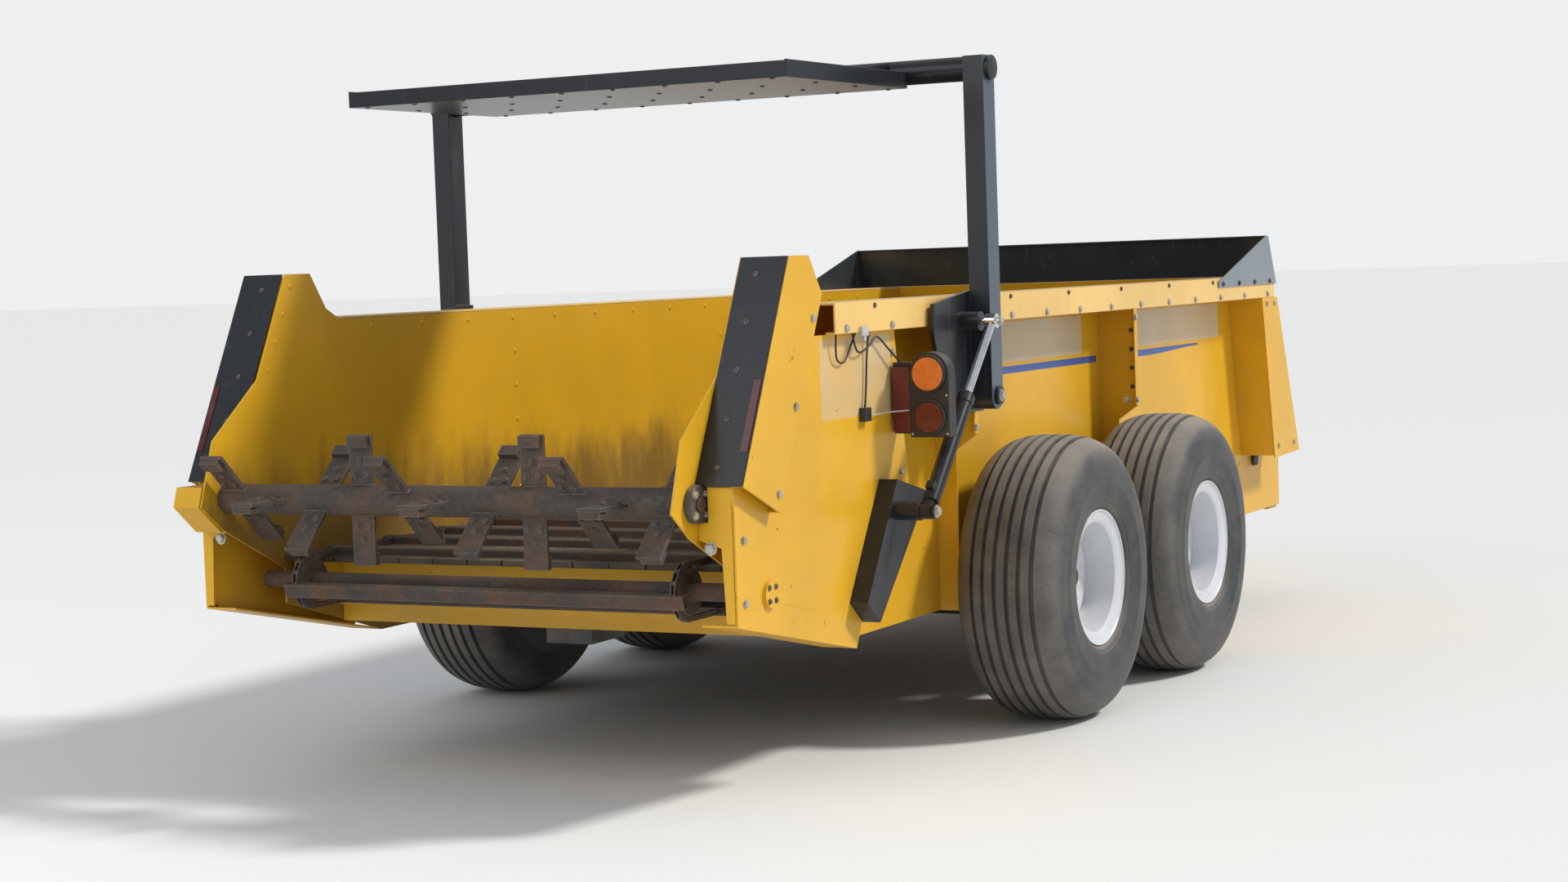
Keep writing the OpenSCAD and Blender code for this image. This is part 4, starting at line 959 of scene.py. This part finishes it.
def weld_seams(node, material, shortest=0.03, size=0.0046, near=None):
    """Weld beads along the node's inner corners: whole on short seams, stitched on long ones."""
    low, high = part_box(node)
    bm = joined_node(node)
    places = []
    for edge in bm.edges:
        length = edge.calc_length()
        if len(edge.link_faces) != 2 or edge.is_convex or length < shortest:
            continue
        if edge.calc_face_angle(0.0) < math.radians(50):
            continue
        aim = (edge.link_faces[0].normal + edge.link_faces[1].normal).normalized()
        first, last = (vert.co.copy() for vert in edge.verts)
        count = max(1, round(length / (size * 1.1)))
        for i in range(count + 1):
            reach = length * i / count
            spot = first.lerp(last, i / count)
            held = all(low[k] + size < spot[k] < high[k] - size for k in range(3))
            held = held and (near is None or near(spot))
            if held and (length < 0.22 or (reach + 0.02) % 0.15 < 0.05):
                places.append((spot, tuple(aim)))
    bm.free()
    bead = [(size * 1.15, -size * 0.4), (size * 0.95, size * 0.30), (size * 0.50, size * 0.58)]
    ripple = turned_mesh("weld_ripple", bead, 8)
    repeat_on(f"welds_{node}", ripple, places, material, body_holding(node), smooth_angle=70.0)


def by_beater_tube(spot):
    return math.hypot(spot[0] - along(BEATER_X), spot[2] - BEATER_Z) < 0.170


for node in ("drawbar", "drive_shield"):
    weld_seams(node, "yellow")
for node in ("axle", "gate_panel", "cylinder_bracket_left", "cylinder_bracket_right"):
    weld_seams(node, "black")
weld_seams("beater", "beater_iron", 0.004, near=by_beater_tube)

# Lamp bezels


def lamp_places(spots):
    """Both lamps' rear faces at (distance from the lamp's middle, height)."""
    return [((LAMP_FACE, side * (LAMP_Y + dy), z), REARWARD) for side in SIDES.values() for dy, z in spots]


def bezel_mesh(name, inner):
    """Ring that holds a round lens in its housing."""
    return turned_mesh(name, [(inner, 0.0), (inner, 0.0100), (inner + 0.0015, 0.0118), (inner + 0.0060, 0.0118),
                              (inner + 0.0078, 0.0095), (inner + 0.0078, 0.0)], 40, closed=True)


repeat_on("amber_bezels", bezel_mesh("amber_bezel", 0.0585), lamp_places([(0, 1.365)]), "moulded")
repeat_on("red_bezels", bezel_mesh("red_bezel", 0.0545), lamp_places([(0, 1.215)]), "moulded")
screw = turned_mesh("lamp_screw", [(0.0045, 0.0), (0.0045, 0.0012), (0.0030, 0.0026), (0.0006, 0.0030)], 14)
screw_places = lamp_places([(-0.066, 1.157), (0.066, 1.157), (0.066, 1.290)])
repeat_on("lamp_screws", screw, screw_places, "zinc")

# Endgate fittings

GUSSET = [(-0.012, 0.0425), (-0.0455, 0.0005), (-0.300, 0.0005), (-0.290, 0.0060)]
gussets = bmesh.new()
for y in (-0.82, -0.48, -0.17, 0.17, 0.48, 0.82):
    add_prism(gussets, [(TUBE_X + x, GATE_Z + z) for x, z in GUSSET], y - 0.004, y + 0.004)
keep("gate_gussets", face_outwards(gussets, 1e-5), "black", "endgate")
carriage = turned_mesh("carriage_bolt", [(0.0105, 0.0), (0.0105, 0.0008), (0.0075, 0.0028), (0.0030, 0.0038),
                                         (0.0006, 0.0040)], 18)
gate_places = [((TUBE_X + x, y, GATE_Z - 0.060), (0, 0, -1))
               for x in (-0.975, -0.655, -0.345, -0.070) for y in row(-0.84, 0.84, 9)]
repeat_on("gate_bolts", carriage, gate_places, "bolt_dark", "endgate")
plug = turned_mesh("tube_plug", [(0.0435, 0.0), (0.0435, 0.0020), (0.0380, 0.0038), (0.0060, 0.0045),
                                 (0.0006, 0.0045)], 32)
tube_ends = [((TUBE_X, side * 1.225, GATE_Z), (0, side, 0)) for side in SIDES.values()]
repeat_on("cross_tube_plugs", plug, tube_ends, "moulded", "endgate")
# Each arm's square head closes around the tube's end
HEAD_HALF, HEAD_LOW, HEAD_TOP, HEAD_EASE = 0.0497, 2.405, 2.4896, 0.005
heads = bmesh.new()
for side in SIDES.values():
    corners = [(-HEAD_HALF, HEAD_LOW), (HEAD_HALF, HEAD_LOW), (HEAD_HALF, HEAD_TOP - HEAD_EASE),
               (HEAD_HALF - HEAD_EASE, HEAD_TOP), (HEAD_EASE - HEAD_HALF, HEAD_TOP),
               (-HEAD_HALF, HEAD_TOP - HEAD_EASE)]
    add_prism(heads, [(TUBE_X + x, z) for x, z in corners], side * 1.1303, side * 1.2097)
keep("lift_arm_heads", face_outwards(heads, 1e-5), "arm", "endgate")

# Paddle bolts on the beater

PADDLES = 11
PADDLE_STEP = 2 * (INSIDE_Y - 0.024 - 0.045) / (PADDLES - 1)
paddle_places = []
for i in range(-(PADDLES // 2), PADDLES // 2 + 1):
    for flip in (0, math.pi):
        turn = i * math.pi / 4 + flip
        ahead = Vector((math.cos(turn), 0, -math.sin(turn)))
        face = Vector((math.sin(turn), 0, math.cos(turn)))
        middle = Vector((along(BEATER_X), i * PADDLE_STEP, BEATER_Z))
        for reach, shift in ((0.085, -0.024), (0.085, 0.024), (0.130, 0.0)):
            spot = middle + ahead * reach + Vector((0, shift, 0))
            paddle_places += [(spot + face * 0.006, face), (spot - face * 0.006, -face)]
repeat_on("paddle_bolts", hex_bolt(12), paddle_places, "beater_iron", "beater")

# Gear case, drive shaft, line shaft and axle

FORWARD, UPWARD = (1, 0, 0), (0, 0, 1)
GUARD_XS = [vert.co.x for vert in NODES["pto_guard"].data.vertices]
GUARD_LOW, GUARD_HIGH = min(GUARD_XS), max(GUARD_XS)
RIB_STEP = 0.028
gear_places = [((GEAR_FACE, a, DRIVE_Z + b), FORWARD) for a, b in on_circle(0.066, 6)]
gear_places += [((GEAR_FACE, y, z), FORWARD) for y in (-0.078, 0.078) for z in (0.480, 0.560, 0.640)]
gear_places += [((along(x), y, 0.780), UPWARD) for x in (3.205, 3.312) for y in (-0.075, 0.0, 0.075)]
gear_places += [((along(x), -0.095, z), (0, -1, 0)) for x in (3.205, 3.312) for z in (0.49, 0.75)]
repeat_on("gear_case_bolts", hex_bolt(10), gear_places, "zinc")
breather = turned_mesh("breather", [(0.012, 0.0), (0.012, 0.014), (0.017, 0.018), (0.017, 0.026),
                                    (0.010, 0.031), (0.0008, 0.032)], 18)
repeat_on("gear_case_breather", breather, [((along(3.258), 0.038, 0.780), UPWARD)], "moulded")
collar = turned_mesh("output_collar", [(0.0262, 0.0), (0.0262, 0.0045), (0.0400, 0.0045), (0.0520, 0.0030),
                                       (0.0540, 0.0)], 40, closed=True)
repeat_on("output_collar", collar, [((GEAR_FACE, 0, DRIVE_Z), FORWARD)], "gear_case")
guard_rib = turned_mesh("guard_rib", [(0.0475, -0.0040), (0.0505, -0.0025), (0.0510, 0.0), (0.0505, 0.0025),
                                      (0.0475, 0.0040)], 40, closed=True)
rib_count = int((GUARD_HIGH - GUARD_LOW - 0.12) / RIB_STEP)
rib_places = [((GUARD_LOW + 0.060 + RIB_STEP * i, 0, DRIVE_Z), FORWARD) for i in range(rib_count)]
repeat_on("pto_guard_ribs", guard_rib, rib_places, "moulded")

COUPLINGS = [along(x) for x in (-1.90, -0.30, 0.95, 2.30)]
half_coupling = [(0.0378, 0.045), (0.052, 0.045), (0.054, 0.043), (0.054, 0.014), (0.066, 0.012)]
coupling_profile = [(r, -x) for r, x in half_coupling] + half_coupling[::-1]
coupling = turned_mesh("coupling", coupling_profile, 36, closed=True)
coupling_places = [((x, 0, LINE_Z), FORWARD) for x in COUPLINGS]
repeat_on("line_couplings", coupling, coupling_places, "black")
coupling_bolts = [((x + face * 0.012, a, LINE_Z + b), (face, 0, 0))
                  for x in COUPLINGS for face in (-1, 1) for a, b in on_circle(0.0600, 4)]
repeat_on("coupling_bolts", hex_bolt(8), coupling_bolts, "zinc")
axle_places = [seat(side, face * 0.110, y, z, (face, 0, 0))
               for face in (-1, 1) for side in SIDES.values() for y in (0.868, 0.900) for z in (0.455, 0.600)]
repeat_on("axle_bolts", hex_bolt(14), axle_places, "bolt_dark")

# Drawbar and extension bolts

drawbar_places = [seat(side, x, 0.052, 0.565, UPWARD) for side in SIDES.values() for x in (4.62, 4.50)]
repeat_on("drawbar_bolts", hex_bolt(14), drawbar_places, "zinc")
extension_places = [seat(side, x, 1.1066, 1.600) for side in SIDES.values() for x in row(1.85, 2.55, 4)]
repeat_on("extension_bolts", hex_bolt(10), extension_places, "bolt_dark")

# Apron

SLATS, LINKS, TEETH = 34, 268, 12
TOOTH_R = 0.0745
SLAT_HALF, SLAT_WALL, SLAT_HIGH, SLAT_LOW, SLAT_EASE = 0.025, 0.006, 0.015, -0.012, 0.004


def on_apron(s):
    """Place and turn on the apron's loop at a distance along it, starting over the rear shaft."""
    s %= APRON_LOOP
    bend_len = math.pi * APRON_R
    if s < APRON_RUN:
        return (APRON_REAR + s, APRON_Z + APRON_R), 0.0
    if s < APRON_RUN + bend_len:
        turn = (s - APRON_RUN) / APRON_R
        return (APRON_FRONT + APRON_R * math.sin(turn), APRON_Z + APRON_R * math.cos(turn)), turn
    if s < 2 * APRON_RUN + bend_len:
        return (APRON_FRONT - (s - APRON_RUN - bend_len), APRON_Z - APRON_R), math.pi
    turn = math.pi + (s - 2 * APRON_RUN - bend_len) / APRON_R
    return (APRON_REAR + APRON_R * math.sin(turn), APRON_Z + APRON_R * math.cos(turn)), turn


def loop_places(count, shift, ys):
    """Equal steps around the apron's loop."""
    places = []
    for i in range(count):
        (x, z), turn = on_apron((i + shift) * APRON_LOOP / count)
        places += [((x, y, z), (0, turn, 0, 0)) for y in ys]
    return places


def slat_mesh():
    """Channel slat, open side down."""
    half = [(SLAT_HALF - SLAT_EASE, SLAT_HIGH), (SLAT_HALF, SLAT_HIGH - SLAT_EASE), (SLAT_HALF, SLAT_LOW),
            (SLAT_HALF - SLAT_WALL, SLAT_LOW), (SLAT_HALF - SLAT_WALL, SLAT_HIGH - SLAT_WALL)]
    bm = bmesh.new()
    add_prism(bm, half + [(-x, z) for x, z in reversed(half)], -0.8, 0.8)
    return mesh_from("apron_slat", face_outwards(bm))


def link_mesh(pitch):
    """Cast chain link: a barrel and two side bars that spread to the next barrel."""
    bm = bmesh.new()
    add_prism(bm, [(a - pitch / 2, b) for a, b in on_circle(0.0075, 8)], -0.0085, 0.0085)
    for side in (-1, 1):
        low, high = side * 0.0065 - 0.0015, side * 0.0065 + 0.0015
        for vert in add_box(bm, (-pitch / 2, low, -0.0085), (pitch / 2 + 0.006, high, 0.0085)):
            if vert.co.x > 0:
                vert.co.y += side * 0.0020
    return mesh_from("chain_link", face_outwards(bm))


def tooth_mesh():
    """Tooth that narrows towards its tip."""
    bm = bmesh.new()
    for vert in add_box(bm, (-0.008, -0.006, -0.004), (0.008, 0.006, 0.010)):
        if vert.co.z > 0:
            vert.co.x *= 0.5
    return mesh_from("sprocket_tooth", face_outwards(bm))


repeat_on("apron_slats", slat_mesh(), loop_places(SLATS, 0.5, (0,)), "iron", nodes=("apron",))
link_places = loop_places(LINKS, 0, CHAINS_Y)
repeat_on("apron_chain_links", link_mesh(APRON_LOOP / LINKS), link_places, "iron",
          smooth_angle=40.0)
tooth_places = [((x + TOOTH_R * math.sin(turn), y, APRON_Z + TOOTH_R * math.cos(turn)), (0, turn, 0, 0))
                for x in (APRON_REAR, APRON_FRONT) for y in CHAINS_Y for turn in turns(TEETH, 0.5)]
repeat_on("sprocket_teeth", tooth_mesh(), tooth_places, "iron")

# Lamp wires, plug boxes, clips and reflectors

WIRE_R = 0.0035
# Two loops of wire from the rail down to the lamp and the plug box
WIRES = {
    "lamp_wire": [(-1.98, 1.085, 1.525), (-1.93, 1.080, 1.455), (-1.84, 1.078, 1.470), (-1.78, 1.080, 1.500),
                  (-1.70, 1.085, 1.455), (-1.612, 1.090, 1.400)],
    "lamp_second_wire": [(-2.10, 1.085, 1.525), (-2.08, 1.075, 1.440), (-2.02, 1.072, 1.425),
                         (-1.97, 1.075, 1.480), (-1.95, 1.085, 1.525)],
    "plug_wire": [(-1.84, 1.080, 1.525), (-1.845, 1.072, 1.440), (-1.855, 1.070, 1.330),
                  (-1.870, 1.071, 1.262)],
}
# Rear face of the black strip: a place on it, and its rise
STRIP_FOOT_X, STRIP_FOOT_Z, STRIP_SLOPE = -2.800, 1.075, 0.5008
LINK_WIRE = [(-1.846, 1.069, 1.240), (-1.80, 1.074, 1.234), (-1.72, 1.078, 1.236), (-1.640, 1.148, 1.240)]


def wire(name, side, points, radius=WIRE_R, material="moulded"):
    """Fixed wire through a few points of one side."""
    bm = bmesh.new()
    add_tube(bm, bent([(along(x), side * y, z) for x, y, z in points], 9), radius)
    keep(name, face_outwards(bm, 1e-5), material, "chassis", (), 60.0)


def small_box(name, side, xs, ys, zs, material):
    """Small housing of one side with rounded edges."""
    bm = bmesh.new()
    y_low, y_high = sorted(side * y for y in ys)
    add_box(bm, (along(xs[0]), y_low, zs[0]), (along(xs[1]), y_high, zs[1]))
    face_outwards(bm)
    bmesh.ops.bevel(bm, geom=list(bm.edges), offset=0.002, segments=2, profile=0.5, affect="EDGES")
    keep(name, bm, material, "chassis", (), 40.0)


for side_name, side in SIDES.items():
    for label, points in WIRES.items():
        wire(f"{label}_{side_name}", side, points)
    small_box(f"plug_box_{side_name}", side, (-1.895, -1.845), (PLATE_Y + 0.0005, PLATE_Y + 0.024),
              (1.215, 1.262), "moulded")
    # Pale link from the plug box to the lamp, and the clip that holds the wires at the rail
    wire(f"link_wire_{side_name}", side, LINK_WIRE, 0.0028, "pale")
    small_box(f"wire_clip_{side_name}", side, (-1.955, -1.905), (RAIL_Y - 0.004, RAIL_Y + 0.013),
              (1.508, 1.540), "pale")
    small_box(f"wire_clip_foot_{side_name}", side, (-1.938, -1.922), (RAIL_Y - 0.002, RAIL_Y + 0.011),
              (1.490, 1.512), "pale")
    # Red reflector on the black rear strip
    outline = [(along(STRIP_FOOT_X + (z - STRIP_FOOT_Z) * STRIP_SLOPE - 0.0105 - thick), z)
               for z, thick in ((1.180, 0.0), (1.180, 0.0025), (1.400, 0.0025), (1.400, 0.0))]
    reflector = bmesh.new()
    add_prism(reflector, outline, side * 1.070, side * 1.096)
    keep(f"rear_reflector_{side_name}", face_outwards(reflector, 1e-5), "reflector", "chassis")

# Floor, light and camera


def studio():
    """Pale floor and backdrop, a soft sun and a fill from behind the machine."""
    scene = bpy.context.scene
    bpy.ops.mesh.primitive_plane_add(size=400, location=(0, 0, 0))
    ground = bpy.context.active_object
    ground.name = "pale_ground"
    material, tree, shader = new_material("pale_ground")
    feed(tree, shader, Base_Color=rgb(0.80, 0.80, 0.79), Roughness=0.9, Specular_IOR_Level=0.15)
    ground.data.materials.append(material)

    world = bpy.data.worlds.new("pale_world")
    scene.world = world
    world.use_nodes = True
    tree = world.node_tree
    tree.nodes.clear()
    path = add(tree, "ShaderNodeLightPath").outputs
    seen = maths(tree, "MAXIMUM", path["Is Camera Ray"], path["Is Transmission Ray"])
    glow = add(tree, "ShaderNodeBackground", None, Color=rgb(0.88, 0.93, 1.0), Strength=0.54)
    pale = add(tree, "ShaderNodeBackground", None, Color=rgb(0.90, 0.91, 0.92), Strength=0.95)
    blend = add(tree, "ShaderNodeMixShader", None, i0=seen, i1=glow.outputs[0], i2=pale.outputs[0])
    add(tree, "ShaderNodeOutputWorld", None, i0=blend.outputs[0])

    sun = bpy.data.lights.new("key", "SUN")
    sun.energy = 2.45
    sun.angle = math.radians(9)
    sun.color = (1.0, 0.97, 0.92)
    in_scene("key", sun).rotation_euler = Vector((0.50, -0.86, 0.95)).to_track_quat("Z", "Y").to_euler()

    soft = bpy.data.lights.new("rear_fill", "AREA")
    soft.energy = 330
    soft.size = 8.0
    fill = in_scene("rear_fill", soft)
    fill.location = (-12.0, 3.0, 7.0)
    fill.rotation_euler = (fill.location - Vector((0, 0, 1.0))).to_track_quat("Z", "Y").to_euler()

    scene.view_settings.view_transform = "Standard"


def photo_camera():
    """Stands behind the machine on its right, as in the photo, with a longer lens."""
    data = bpy.data.cameras.new("photo_camera")
    data.lens = 61.0
    data.sensor_width = 36.0
    camera = in_scene("photo_camera", data)
    camera.location = (along(-9.98), -5.06, 1.75)
    ahead = Vector((-1.30, 0.02, 1.04)) - camera.location
    turn = ahead.to_track_quat("-Z", "Y").to_matrix() @ Matrix.Rotation(math.radians(-2.0), 3, "Z")
    camera.rotation_euler = turn.to_euler()
    bpy.context.scene.camera = camera


studio()
photo_camera()
